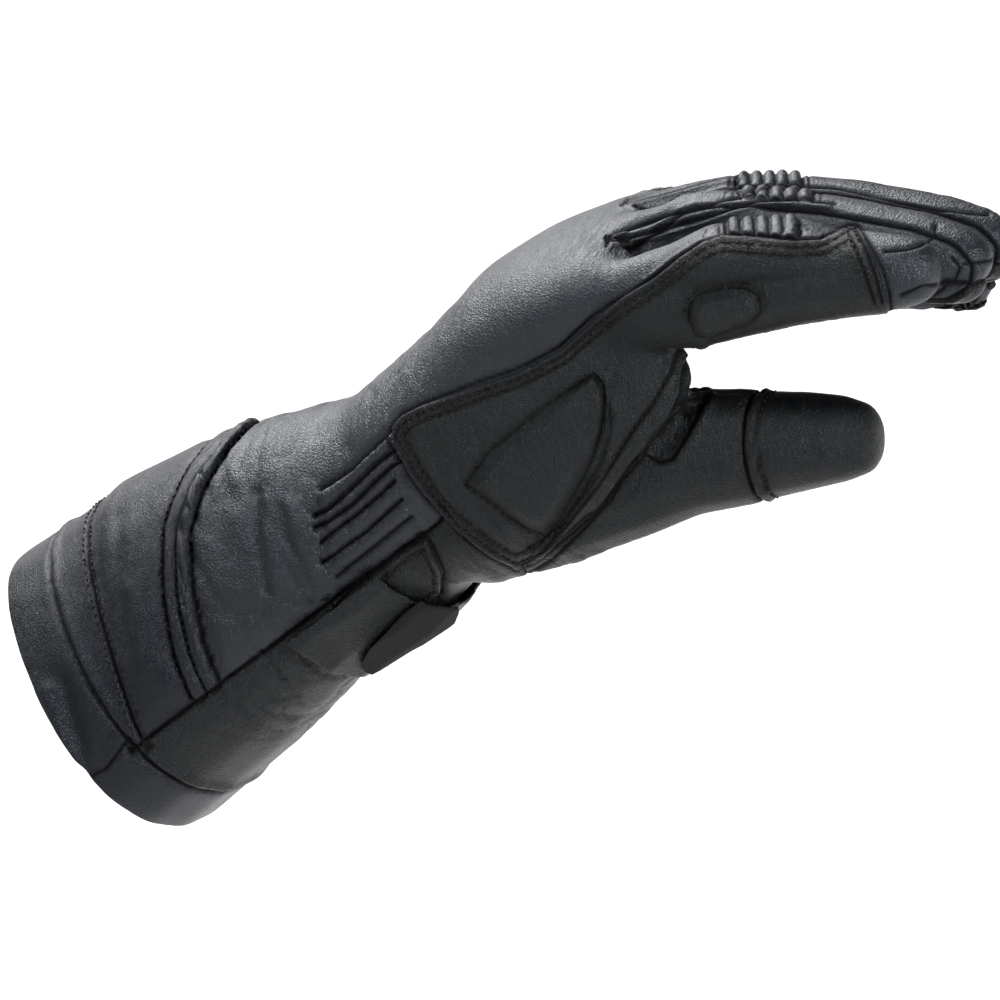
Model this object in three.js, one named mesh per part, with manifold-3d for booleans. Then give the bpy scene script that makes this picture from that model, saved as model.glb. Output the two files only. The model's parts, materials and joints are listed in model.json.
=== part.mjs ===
// A left-hand motorcycle gauntlet in black leather, in the half-closed form that it has on a hand.
// Millimetres. The origin is the middle of the wrist. +X runs towards the fingertips, +Y from the
// thumb side to the little finger's side, and +Z up. The forearm rises along +X to the knuckles.
// along is measured on the arm's line from the wrist, rise square to it towards the back of the hand.
import * as THREE from 'three';
import { mergeVertices } from 'three/addons/utils/BufferGeometryUtils.js';
import Module from 'manifold-3d';

// Overall form
const armSlope = 40; // degrees that the forearm and palm rise above level
const cuffLength = 102; // wrist to the mouth, along the arm
const palmLength = 104; // wrist to the knuckles, along the arm
const mouthDepth = 88; // palm side to back
const mouthWidth = 96; // thumb side to little finger's side
const wristDepth = 67;
const wristWidth = 72;
const knuckleDepth = 36;
const knuckleWidth = 92;

// Fingers and thumb
const fingerLength = 100; // middle finger, knuckle to tip
const fingerWidth = 21.5;
const fingerDepth = 26.5;
const thumbLength = 150; // wrist to the thumb's tip
const thumbDepth = 32;
const thumbWidth = 25;
const thumbSplit = -0.135; // share of thumbLength: the seams along the thumb's two edges

// Leather
const leather = 2; // wall of the shell, lined leather
const seamGap = 0.3; // clearance between panels and between layers
const trunkSides = 18; // flats round the arm and palm
const hollowSides = 14; // flats round their hollow
const fingerSides = 12;
const fingerHollowSides = 8;
const webSides = 10;
const fingerSteps = 16; // stretches along a finger's curve
const overlayThickness = 1.2; // a second layer of leather
const padHeight = 2.2;
const ribHeight = 2;

// Cuff
const hemWidth = 16;
const pipingWidth = 2.8;
const pipingPitch = 5; // from one ridge of piping to the other
const palmSeam = -0.16; // share of cuffLength: the palm's cross seam, under the strap
const sideSeam = -0.18; // share of wristDepth that the cuff's side seams lie from the arm's line

// Flex ribs on the fingers
const ribCount = 5;
const ribPitch = 4.4;
const ribWidth = 2.9;
const ribSpan = 0.72; // share of the finger's width
const ribMargin = 1.2; // base plate beyond the bars
const ribFlat = 0.45; // share of a bar's half length that is flat on top
const ribFall = 0.3; // drop at a bar's end, share of its half length

// Flex ribs on the wrist
const wristRibWidth = 3;

// Strap
const strapWidth = 34;
const strapMiddle = -15.5; // along the arm
const anchorReach = 16; // front edge of the anchor patch, along the arm
const tabMargin = 2; // the hook tab beyond the strap's edges
const strapTop = -0.2; // shares of wristDepth
const anchorBottom = -0.36;
const tabTop = -0.39;
const tabSide = 0.1; // share of wristWidth: the tab's far end, past the middle of the palm

const leatherColour = 0x17181a;
const padColour = 0x1d1f22;
const hookColour = 0x0b0b0c;

const wasm = await Module();
wasm.setup();

const arm = THREE.MathUtils.degToRad(armSlope);
const forward = new THREE.Vector3(Math.cos(arm), 0, Math.sin(arm));
const dorsal = new THREE.Vector3(-Math.sin(arm), 0, Math.cos(arm));
const level = new THREE.Vector3(1, 0, 0);
const upright = new THREE.Vector3(0, 0, 1);
const across = new THREE.Vector3(0, 1, 0);
const wide = 400; // reach of a cutter past the whole glove

// Arm and palm, from mouth to knuckles. along: share of cuffLength behind the wrist, of palmLength
// before it. rise: share of the local depth that the middle lies above the arm's line. depth and
// width: shares of the straight taper from mouth to wrist to knuckles. corner: share of the width
// that the two side seams stand out. lean: share by which the palm side is wider than the back.
// power: 2 for an oval, more for a boxier section.
const trunkRows = [
  { along: -1.0, rise: 0.045, depth: 1.02, width: 0.96, corner: 0.015, lean: 0.22, power: 2.15 },
  { along: -0.63, rise: 0.055, depth: 1.06, width: 0.97, corner: 0.015, lean: 0.17, power: 2.1 },
  { along: -0.25, rise: 0.055, depth: 1.02, width: 0.99, corner: 0.01, lean: 0.06, power: 2.1 },
  { along: -0.08, rise: 0.01, depth: 1.0, width: 1.0, corner: 0, lean: 0.02, power: 2.1 },
  { along: 0.08, rise: -0.02, depth: 0.935, width: 1.02, corner: 0, lean: 0, power: 2.1 },
  { along: 0.25, rise: 0.065, depth: 0.88, width: 1.05, corner: 0, lean: 0, power: 2.2 },
  { along: 0.45, rise: 0.16, depth: 0.87, width: 1.05, corner: 0, lean: 0, power: 2.3 },
  { along: 0.65, rise: 0.285, depth: 0.94, width: 1.02, corner: 0, lean: 0, power: 2.3 },
  { along: 0.82, rise: 0.34, depth: 0.96, width: 1.0, corner: 0, lean: 0, power: 2.3 },
  { along: 1.0, rise: 0.34, depth: 0.94, width: 0.96, corner: 0, lean: 0, power: 2.3 },
  { along: 1.1, rise: 0.28, depth: 0.8, width: 0.9, corner: 0, lean: 0, power: 2.3 },
];

// Fingers. side: share of knuckleWidth from the middle. reach and lift: the knuckle, as shares of
// palmLength along the arm and of knuckleDepth above it. length, width and depth: shares of the
// middle finger's. root, bend and droop: degrees that its three stretches point above level. spread:
// degrees that it points to the little finger's side.
const fingerRows = [
  { name: 'index', side: -0.375, reach: 1.06, lift: 0.15, length: 0.93, width: 1.02, depth: 0.9, root: 19, bend: 14, droop: 4, spread: -3 },
  { name: 'middle', side: -0.125, reach: 1.08, lift: 0.38, length: 1.01, width: 1, depth: 1, root: 13, bend: 5, droop: -11, spread: -1 },
  { name: 'ring', side: 0.125, reach: 1.04, lift: 0.38, length: 1.02, width: 0.98, depth: 0.96, root: 14, bend: 4, droop: -10, spread: 1.5 },
  { name: 'little', side: 0.37, reach: 0.94, lift: 0.2, length: 0.9, width: 0.94, depth: 0.88, root: 9, bend: -3, droop: -16, spread: 5 },
];

// A finger along its length. along: share of its length. width and depth: shares of its own.
const fingerSections = [
  { along: -0.1, width: 0.7, depth: 0.75 },
  { along: 0.04, width: 0.92, depth: 1.06 },
  { along: 0.2, width: 1.02, depth: 1.2 },
  { along: 0.36, width: 1.04, depth: 1.15 },
  { along: 0.56, width: 1.02, depth: 1.03 },
  { along: 0.8, width: 0.97, depth: 0.91 },
  { along: 0.91, width: 0.86, depth: 0.82 },
  { along: 0.97, width: 0.66, depth: 0.66 },
  { along: 1.0, width: 0.38, depth: 0.4 },
];

// Thumb, from inside the wrist to its tip. forward, side and lift: the middle of the section, as
// shares of thumbLength. depth and width: shares of the thumb's own.
const thumbRows = [
  { forward: 0.05, side: -0.09, lift: -0.02, depth: 1.1, width: 1.1 },
  { forward: 0.22, side: -0.125, lift: 0.055, depth: 1.42, width: 1.25 },
  { forward: 0.38, side: -0.14, lift: 0.115, depth: 1.38, width: 1.25 },
  { forward: 0.52, side: -0.14, lift: 0.165, depth: 1.22, width: 1.15 },
  { forward: 0.635, side: -0.135, lift: 0.205, depth: 1.09, width: 1.05 },
  { forward: 0.75, side: -0.135, lift: 0.227, depth: 0.98, width: 1.0 },
  { forward: 0.86, side: -0.135, lift: 0.25, depth: 0.82, width: 0.96 },
  { forward: 0.93, side: -0.135, lift: 0.262, depth: 0.72, width: 0.84 },
  { forward: 0.977, side: -0.135, lift: 0.268, depth: 0.57, width: 0.62 },
  { forward: 0.994, side: -0.135, lift: 0.27, depth: 0.32, width: 0.36 },
];

// The sheet of leather from the thumb's root to the index finger. along: share of palmLength. top
// and bottom: shares of wristDepth above the arm's line. side and width: shares of knuckleWidth.
const webRows = [
  { along: 0.02, top: 0.1, bottom: -0.3, side: -0.2, width: 0.2 },
  { along: 0.22, top: 0.17, bottom: -0.46, side: -0.28, width: 0.28 },
  { along: 0.42, top: 0.22, bottom: -0.54, side: -0.315, width: 0.3 },
  { along: 0.62, top: 0.23, bottom: -0.54, side: -0.325, width: 0.3 },
  { along: 0.8, top: 0.22, bottom: -0.48, side: -0.33, width: 0.28 },
  { along: 0.94, top: 0.17, bottom: -0.41, side: -0.335, width: 0.24 },
  { along: 1.03, top: 0.06, bottom: -0.35, side: -0.335, width: 0.19 },
  { along: 1.07, top: 0.0, bottom: -0.27, side: -0.335, width: 0.11 },
];
const webTilt = 8; // degrees that the sheet leans in towards the palm

// Outline of the overlay from the thumb side. forward and lift: shares of palmLength.
const overlayOutline = [
  { forward: 0.133, lift: 0.321 },
  { forward: 0.316, lift: 0.436 },
  { forward: 0.52, lift: 0.543 },
  { forward: 0.748, lift: 0.68 },
  { forward: 0.889, lift: 0.829 },
  { forward: 1.033, lift: 0.923 },
  { forward: 1.265, lift: 0.977 },
  { forward: 1.353, lift: 0.97 },
  { forward: 1.4, lift: 1.01 },
  { forward: 1.45, lift: 1.02 },
  { forward: 1.45, lift: 0.7 },
  { forward: 1.145, lift: 0.6 },
  { forward: 1.02, lift: 0.62 },
  { forward: 0.945, lift: 0.515 },
  { forward: 0.905, lift: 0.447 },
  { forward: 0.835, lift: 0.348 },
  { forward: 0.72, lift: 0.215 },
  { forward: 0.584, lift: 0.085 },
  { forward: 0.487, lift: 0.015 },
  { forward: 0.386, lift: 0.035 },
  { forward: 0.282, lift: 0.085 },
  { forward: 0.17, lift: 0.214 },
];

// How far the overlay reaches round from the thumb side. forward: share of palmLength. side: share
// of knuckleWidth.
const overlayReach = [
  { forward: 0, side: -0.15 },
  { forward: 0.92, side: -0.15 },
  { forward: 1.0, side: -0.42 },
  { forward: 1.6, side: -0.46 },
];

// Raised pads on the overlay, seen from the thumb side. forward and lift: shares of palmLength.
const shieldOutline = [
  { forward: 0.373, lift: 0.226 },
  { forward: 0.463, lift: 0.348 },
  { forward: 0.604, lift: 0.474 },
  { forward: 0.745, lift: 0.56 },
  { forward: 0.767, lift: 0.493 },
  { forward: 0.778, lift: 0.375 },
  { forward: 0.717, lift: 0.262 },
  { forward: 0.646, lift: 0.18 },
  { forward: 0.576, lift: 0.122 },
  { forward: 0.463, lift: 0.158 },
];
const ovalOutline = [
  { forward: 0.994, lift: 0.771 },
  { forward: 1.036, lift: 0.818 },
  { forward: 1.107, lift: 0.845 },
  { forward: 1.171, lift: 0.838 },
  { forward: 1.205, lift: 0.806 },
  { forward: 1.177, lift: 0.755 },
  { forward: 1.107, lift: 0.722 },
  { forward: 1.036, lift: 0.726 },
];
const padShrink = 0.82; // size of the pad's top step to its foot

// Insert between thumb and index finger, from the thumb side. forward and lift: shares of palmLength.
const gussetOutline = [
  { forward: 0.845, lift: 0.335 },
  { forward: 0.925, lift: 0.475 },
  { forward: 1.015, lift: 0.49 },
  { forward: 0.98, lift: 0.411 },
  { forward: 0.92, lift: 0.34 },
  { forward: 0.866, lift: 0.318 },
];

// Front edge of the palm against the thumb, from below upwards, then along under the index finger.
// forward and lift: shares of palmLength.
const thumbOutline = [
  { forward: 0.42, lift: -0.35 },
  { forward: 0.487, lift: -0.01 },
  { forward: 0.584, lift: 0.06 },
  { forward: 0.738, lift: 0.197 },
  { forward: 0.845, lift: 0.34 },
  { forward: 0.92, lift: 0.447 },
  { forward: 0.97, lift: 0.53 },
  { forward: 1.1, lift: 0.56 },
  { forward: 1.7, lift: 0.6 },
  { forward: 1.7, lift: -0.35 },
];
const thumbTipSeam = [
  { forward: 1.085, lift: 0.6 },
  { forward: 1.1, lift: 0.35 },
  { forward: 1.145, lift: 0.1 },
];

// Seams across the back of the cuff. along: share of cuffLength. rise: share of wristDepth.
const borderSeam = [
  { along: -0.7, rise: 0.9 },
  { along: -0.71, rise: 0.6 },
  { along: -0.725, rise: 0.4 },
  { along: -0.745, rise: 0.2 },
  { along: -0.78, rise: 0 },
  { along: -0.82, rise: -0.18 },
  { along: -0.84, rise: -0.3 },
];
const pipingSeam = [
  { along: -0.14, rise: 0.9 },
  { along: -0.22, rise: 0.63 },
  { along: -0.34, rise: 0.54 },
  { along: -0.42, rise: 0.43 },
  { along: -0.49, rise: 0.22 },
  { along: -0.55, rise: 0 },
  { along: -0.59, rise: -0.17 },
];

// Seam between the back of the hand and the palm, before the fingers. along: share of palmLength.
// rise: share of wristDepth.
const backSeam = [
  { along: -1.1, rise: sideSeam },
  { along: 0.26, rise: sideSeam },
  { along: 0.58, rise: 0.06 },
];

// Strips between the fingers. side: the valley, share of knuckleWidth from the middle. tip: where
// the strip starts on the back, and open: where it has its full width, as shares of palmLength.
const fourchetteRows = [
  { name: 'fourchette_index_middle', fingers: [0, 1], side: -0.25, tip: 0.69, open: 0.92 },
  { name: 'fourchette_middle_ring', fingers: [1, 2], side: 0, tip: 0.69, open: 0.92 },
  { name: 'fourchette_ring_little', fingers: [2, 3], side: 0.25, tip: 0.64, open: 0.86 },
];
const fourchetteInset = 0.3; // share of fingerWidth from a finger's middle to its side seam
const tipReach = 0.6; // share of fingerWidth that the fingertip's block spans towards the middle finger
const tipSeam = 0.7; // share of the index finger's length: seam of its separate fingertip
const ribSetback = 0.04; // share of a finger's length from the seam of its back to its first bar
const fingerCrease = 0.935; // share of palmLength, level: the palm's seam under the fingers

// Flex ribs on the fingers, named after them. from: share of the finger's length at the first bar.
const fingerRibRows = [
  { finger: 0, from: 0.375 },
  { finger: 1, from: 0.32 },
  { finger: 2, from: 0.28 },
  { finger: 3, from: 0.3 },
];

// Flex ribs on the wrist. start and end: along the arm, shares of palmLength. low and high: rise at
// those ends, shares of wristDepth.
const wristRibRows = [
  { start: 0.02, low: 0.225, end: 0.285, high: 0.225 },
  { start: -0.02, low: 0.145, end: 0.262, high: 0.153 },
  { start: -0.045, low: 0.075, end: 0.245, high: 0.08 },
  { start: -0.065, low: 0.005, end: 0.225, high: 0.01 },
  { start: -0.085, low: -0.065, end: 0.2, high: -0.06 },
];

// The hollow needs fewer sections than the outside.
const everySecond = (rows) => rows.filter((row, i) => i % 2 === 0);

// The value at a place of a line through [place, value] pairs.
function taper(pairs, place) {
  const held = THREE.MathUtils.clamp(place, pairs[0][0], pairs.at(-1)[0]);
  const found = pairs.findIndex((pair, i) => i > 0 && pair[0] >= held);
  const [[a, from], [b, to]] = [pairs[found - 1], pairs[found]];
  return THREE.MathUtils.mapLinear(held, a, b, from, to);
}

function solidOf(geometry) {
  const bare = new THREE.BufferGeometry().setAttribute('position', geometry.getAttribute('position'));
  bare.setIndex(geometry.index);
  const merged = mergeVertices(bare, 1e-4);
  return new wasm.Manifold(new wasm.Mesh({
    numProp: 3,
    vertProperties: merged.attributes.position.array,
    triVerts: new Uint32Array(merged.index.array),
  }));
}

// A closed loft through sections {centre, up, side, half, halfDepth, corner, lean, power}, each in
// the plane of its up and side.
function loft(sections, sides) {
  const points = [];
  const faces = [];
  for (const section of sections) {
    for (let j = 0; j < sides; j++) {
      const angle = (2 * Math.PI * (j + 0.5)) / sides;
      const round = (value) => Math.sign(value) * Math.abs(value) ** (2 / section.power);
      const height = round(Math.sin(angle));
      const ridge = section.corner * Math.exp(-((height / 0.25) ** 2));
      const breadth = round(Math.cos(angle)) * (section.half + ridge) * (1 - section.lean * height);
      const point = section.centre.clone().addScaledVector(section.side, breadth);
      points.push(...point.addScaledVector(section.up, height * section.halfDepth));
    }
  }
  const ring = (i, j) => i * sides + (j % sides);
  for (let i = 0; i < sections.length - 1; i++) {
    for (let j = 0; j < sides; j++) {
      faces.push(ring(i, j), ring(i, j + 1), ring(i + 1, j));
      faces.push(ring(i, j + 1), ring(i + 1, j + 1), ring(i + 1, j));
    }
  }
  for (const i of [0, sections.length - 1]) {
    const middle = points.length / 3;
    points.push(...sections[i].centre);
    for (let j = 0; j < sides; j++) {
      faces.push(...(i ? [ring(i, j), ring(i, j + 1), middle] : [ring(i, j + 1), ring(i, j), middle]));
    }
  }
  const geometry = new THREE.BufferGeometry();
  geometry.setAttribute('position', new THREE.Float32BufferAttribute(points, 3));
  geometry.setIndex(faces);
  return solidOf(geometry);
}

const depthTaper = [[-1, mouthDepth], [0, wristDepth], [1, knuckleDepth], [1.1, knuckleDepth]];
const widthTaper = [[-1, mouthWidth], [0, wristWidth], [1, knuckleWidth], [1.1, knuckleWidth]];

// The arm and palm, grown by grow all round, and by reach past the mouth.
function trunk(grow, reach) {
  return loft(trunkRows.map((row, i) => {
    const depth = taper(depthTaper, row.along);
    const width = taper(widthTaper, row.along);
    const distance = row.along * (row.along < 0 ? cuffLength : palmLength) - (i ? 0 : reach);
    const end = i === trunkRows.length - 1 ? grow : 0;
    return {
      centre: forward.clone().multiplyScalar(distance + end).addScaledVector(dorsal, row.rise * depth),
      up: dorsal,
      side: across,
      half: (row.width * width) / 2 + grow,
      halfDepth: (row.depth * depth) / 2 + grow,
      corner: row.corner * width,
      lean: row.lean,
      power: row.power,
    };
  }), grow < 0 ? hollowSides : trunkSides);
}

const fingerAngle = (finger, along) => THREE.MathUtils.degToRad(
  taper([[0, finger.root], [0.5, finger.bend], [1, finger.droop]], along));

// A finger's middle line at a share of its length: the point, and the directions along, up and side.
function fingerPlace(finger, along) {
  const yaw = THREE.MathUtils.degToRad(finger.spread);
  const ahead = new THREE.Vector3(Math.cos(yaw), Math.sin(yaw), 0);
  const point = forward.clone().multiplyScalar(finger.reach * palmLength);
  point.addScaledVector(dorsal, finger.lift * knuckleDepth);
  point.addScaledVector(across, finger.side * knuckleWidth);
  const step = (along / fingerSteps) * finger.length * fingerLength;
  for (let i = 0; i < fingerSteps; i++) {
    const angle = fingerAngle(finger, ((i + 0.5) / fingerSteps) * along);
    point.addScaledVector(ahead, step * Math.cos(angle)).addScaledVector(upright, step * Math.sin(angle));
  }
  const angle = fingerAngle(finger, along);
  const direction = ahead.clone().multiplyScalar(Math.cos(angle)).addScaledVector(upright, Math.sin(angle));
  const side = new THREE.Vector3(-Math.sin(yaw), Math.cos(yaw), 0);
  return { point, direction, up: direction.clone().cross(side), side };
}

function fingerForm(finger, grow) {
  const rows = grow < 0 ? everySecond(fingerSections) : fingerSections;
  return loft(rows.map((row, i) => {
    const place = fingerPlace(finger, row.along);
    const beyond = i > rows.length - 3 ? grow : 0;
    return {
      centre: place.point.addScaledVector(place.direction, beyond),
      up: place.up,
      side: place.side,
      half: Math.max((row.width * finger.width * fingerWidth) / 2 + grow, leather),
      halfDepth: Math.max((row.depth * finger.depth * fingerDepth) / 2 + grow, leather),
      corner: 0,
      lean: 0,
      power: 2.2,
    };
  }), grow < 0 ? fingerHollowSides : fingerSides);
}

function thumbForm(grow) {
  const rows = grow < 0 ? everySecond(thumbRows) : thumbRows;
  return loft(rows.map((row, i) => {
    const next = rows[Math.min(i + 1, rows.length - 1)];
    const last = rows[Math.max(i - 1, 0)];
    const angle = Math.atan2(next.lift - last.lift, next.forward - last.forward);
    const direction = level.clone().multiplyScalar(Math.cos(angle)).addScaledVector(upright, Math.sin(angle));
    const beyond = i > rows.length - 3 ? grow : 0;
    return {
      centre: new THREE.Vector3(row.forward, row.side, row.lift).multiplyScalar(thumbLength)
        .addScaledVector(direction, beyond),
      up: direction.clone().cross(across),
      side: across,
      half: Math.max((row.width * thumbWidth) / 2 + grow, leather),
      halfDepth: Math.max((row.depth * thumbDepth) / 2 + grow, leather),
      corner: 0,
      lean: 0,
      power: 2.3,
    };
  }), grow < 0 ? fingerHollowSides : fingerSides);
}

function webForm(grow) {
  const tilt = THREE.MathUtils.degToRad(webTilt);
  const up = dorsal.clone().multiplyScalar(Math.cos(tilt)).addScaledVector(across, -Math.sin(tilt));
  const side = across.clone().multiplyScalar(Math.cos(tilt)).addScaledVector(dorsal, Math.sin(tilt));
  return loft(webRows.map((row, i) => ({
    centre: forward.clone().multiplyScalar(row.along * palmLength + (i === webRows.length - 1 ? grow : 0))
      .addScaledVector(dorsal, ((row.top + row.bottom) / 2) * wristDepth)
      .addScaledVector(across, row.side * knuckleWidth),
    up,
    side,
    half: (row.width * knuckleWidth) / 2 + grow,
    halfDepth: ((row.top - row.bottom) / 2) * wristDepth + grow,
    corner: 0,
    lean: 0,
    power: 3,
  })), grow < 0 ? fingerHollowSides : webSides);
}

// The whole glove's form, grown by grow all round, and by reach past the mouth.
const form = (grow, reach) => wasm.Manifold.union([
  trunk(grow, reach),
  ...fingerRows.map((finger) => fingerForm(finger, grow)),
  thumbForm(grow),
  webForm(grow),
]);

// A block whose outline is given by points in the plane of the first two directions. It reaches from
// one end to the other along the third, which they turn into.
function block(points, first, second, from, to) {
  const shape = new THREE.Shape(points.map(([a, b]) => new THREE.Vector2(a, b)));
  const geometry = new THREE.ExtrudeGeometry(shape, { depth: to - from, bevelEnabled: false });
  const third = first.clone().cross(second);
  geometry.applyMatrix4(new THREE.Matrix4().makeBasis(first, second, third)
    .setPosition(third.clone().multiplyScalar(from)));
  return solidOf(geometry);
}

// Side views are drawn in two directions whose third is -Y.
const sideBlock = (points, from, to) => block(points, level, upright, -to, -from);
const armBlock = (points, from, to) => block(points, forward, dorsal, -to, -from);
const handPoints = (rows) => rows.map((row) => [row.forward * palmLength, row.lift * palmLength]);
const cuffPoints = (rows) => rows.map((row) => [row.along * cuffLength, row.rise * wristDepth]);

// Everything behind a seam that runs down across the arm.
function behind(points, shift) {
  const moved = points.map(([a, b]) => [a + shift, b]);
  return armBlock([...moved, [moved.at(-1)[0], -wide], [-wide, -wide], [-wide, moved[0][1]]], -wide, wide);
}

// What is left of a solid beside a block, with a gap to each of the block's moved copies.
const beside = (solid, cutter, moves) => moves.reduce(
  (left, move) => left.subtract(cutter.translate(...move.clone().multiplyScalar(seamGap))),
  solid.subtract(cutter));

const layer = (from, to) => form(to, to).subtract(form(from, from));

const glove = new THREE.Group();
glove.name = 'motorcycle_gauntlet';
const add = (name, solid, color = leatherColour) => {
  const [body] = solid.decompose().sort((a, b) => b.volume() - a.volume());
  const mesh = body.getMesh();
  const geometry = new THREE.BufferGeometry();
  geometry.setAttribute('position', new THREE.BufferAttribute(mesh.vertProperties, 3));
  geometry.setIndex(new THREE.BufferAttribute(mesh.triVerts, 1));
  geometry.computeVertexNormals();
  const made = new THREE.Mesh(geometry, new THREE.MeshStandardMaterial({ color, roughness: 0.5 }));
  made.name = name;
  glove.add(made);
};

// Shell
const shell = form(0, 0).subtract(form(-leather, leather));
const hemSeam = -cuffLength + hemWidth;
const hemBlock = behind([[hemSeam, wide], [hemSeam, 0]], 0);
add('hem_band', shell.intersect(hemBlock));
const open = beside(shell, hemBlock, [forward]);

// Thumb
const thumbBlock = sideBlock(handPoints(thumbOutline), -wide, wide);
const thumb = open.intersect(thumbBlock);
const afterThumb = beside(open, thumbBlock, [level.clone().negate(), upright]);
const seam = handPoints(thumbTipSeam);
const tipBlock = sideBlock([...seam.toReversed(), [wide, wide], [wide, -wide]], -wide, wide);
add('thumb_tip', thumb.intersect(tipBlock));
const thumbTube = beside(thumb, tipBlock, [level.clone().negate()]);
const thumbMiddle = thumbSplit * thumbLength;
const nearBlock = sideBlock([[-wide, -wide], [wide, -wide], [wide, wide], [-wide, wide]], -wide, thumbMiddle);
add('thumb_near_panel', thumbTube.intersect(nearBlock));
add('thumb_far_panel', beside(thumbTube, nearBlock, [across]));

// Strips between the fingers
let hand = afterThumb;
for (const row of fourchetteRows) {
  const inset = fourchetteInset * fingerWidth;
  const [near, far] = row.fingers.map((k, side) => [row.open * palmLength, wide].map((x) => {
    const finger = fingerRows[k];
    const { point } = fingerPlace(finger, 0);
    const drift = (x - point.x) * Math.tan(THREE.MathUtils.degToRad(finger.spread));
    return [x, point.y + drift + (side ? -inset : inset)];
  }));
  const outline = [[row.tip * palmLength, row.side * knuckleWidth], near[0], near[1], far[1], far[0]];
  const wedge = block(outline, level, across, -wide, wide);
  add(row.name, hand.intersect(wedge));
  hand = beside(hand, wedge, [across, across.clone().negate(), level.clone().negate()]);
}

// Fingertip of the index finger
const indexSeam = fingerPlace(fingerRows[0], tipSeam);
const pastSeam = block([[0, -fingerDepth], [fingerDepth * 2, -fingerDepth], [fingerDepth * 2, fingerDepth],
  [0, fingerDepth]], indexSeam.direction, indexSeam.up, -fingerWidth * tipReach, fingerWidth)
  .translate(...indexSeam.point);
add('index_tip', hand.intersect(pastSeam));
hand = beside(hand, pastSeam, [indexSeam.direction.clone().negate()]);

// Back and palm
const firstSeam = backSeam.map((row) => forward.clone().multiplyScalar(row.along * palmLength)
  .addScaledVector(dorsal, row.rise * wristDepth)).map((point) => [point.x, point.z]);
const valleys = [-wide, ...fourchetteRows.map((row) => row.side * knuckleWidth), wide];
const above = wasm.Manifold.union(fingerRows.map((finger, i) => {
  const line = [0.1, 0.5, 1.2].map((along) => fingerPlace(finger, along).point).map((point) => [point.x, point.z]);
  const points = [...firstSeam, ...line, [wide, line.at(-1)[1]], [wide, wide], [-wide, wide]];
  return sideBlock([[-wide, firstSeam[0][1]], ...points], valleys[i], valleys[i + 1] + seamGap);
}));
const back = hand.intersect(above);
const palm = beside(hand, above, [upright.clone().negate()]);

const borderPoints = cuffPoints(borderSeam);
const pipingPoints = cuffPoints(pipingSeam);
add('cuff_back_border', back.intersect(behind(borderPoints, 0)));
add('cuff_back_panel', back.subtract(behind(borderPoints, seamGap)).intersect(behind(pipingPoints, 0)));
const palmSeamPoints = [[palmSeam * cuffLength, wide], [palmSeam * cuffLength, 0]];
add('cuff_palm_panel', palm.intersect(behind(palmSeamPoints, 0)));

// Each finger's own back starts behind its flex ribs, and its underside where the palm ends
let backPanel = back.subtract(behind(pipingPoints, seamGap));
let palmPanel = palm.subtract(behind(palmSeamPoints, seamGap));
fingerRows.forEach((finger, i) => {
  const [left, right] = [valleys[i], valleys[i + 1]];
  const lane = (from) => block([[from, left], [wide, left], [wide, right], [from, right]], level, across, -wide, wide);
  const place = fingerPlace(finger, fingerRibRows[i].from - ribSetback);
  const ahead = block([[0, -wide], [wide, -wide], [wide, wide], [0, wide]], place.direction, place.up, -wide, wide)
    .translate(...place.point).intersect(lane(0));
  add(finger.name + '_back', backPanel.intersect(ahead));
  backPanel = beside(backPanel, ahead, [place.direction.clone().negate()]);
  const under = lane(fingerCrease * palmLength);
  add(finger.name + '_underside', palmPanel.intersect(under));
  palmPanel = beside(palmPanel, under, [level.clone().negate()]);
});
add('back_panel', backPanel);
add('palm_panel', palmPanel);

// Piping between cuff and back: two ridges
const pipingLayer = layer(seamGap, overlayThickness + seamGap);
for (const [name, shift] of [['cuff_piping_lower', -pipingPitch / 2], ['cuff_piping_upper', pipingPitch / 2]]) {
  const ridge = [...pipingPoints.map(([a, b]) => [a + shift - pipingWidth / 2, b]),
    ...pipingPoints.toReversed().map(([a, b]) => [a + shift + pipingWidth / 2, b])];
  add(name, pipingLayer.intersect(armBlock(ridge, -wide, wide)));
}

// Overlay on the thumb side, with its pads
const overlayTop = overlayThickness + seamGap;
const reach = overlayReach.map((row) => [row.forward * palmLength, row.side * knuckleWidth]);
const reachBlock = block([[0, -wide], [reach.at(-1)[0], -wide], ...reach.toReversed()], level, across, -wide, wide);
const overlayBlock = sideBlock(handPoints(overlayOutline), -wide, 0).intersect(reachBlock);
add('side_overlay', layer(seamGap, overlayTop).intersect(overlayBlock));

function pad(name, outline) {
  const points = handPoints(outline);
  const middle = points.reduce(([a, b], [c, d]) => [a + c / points.length, b + d / points.length], [0, 0]);
  const inner = points.map((point) => point.map((value, i) => middle[i] + (value - middle[i]) * padShrink));
  const foot = layer(overlayTop + seamGap, overlayTop + padHeight / 2);
  const top = layer(overlayTop + seamGap, overlayTop + padHeight);
  const nearSide = -knuckleWidth / 3;
  add(name, foot.intersect(sideBlock(points, -wide, nearSide))
    .add(top.intersect(sideBlock(inner, -wide, nearSide))), padColour);
}
pad('shield_pad', shieldOutline);
pad('oval_pad', ovalOutline);
const gusset = layer(seamGap, overlayTop).intersect(sideBlock(handPoints(gussetOutline), -wide, thumbMiddle));
add('thumb_gusset', beside(gusset, overlayBlock, [level]));

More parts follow.
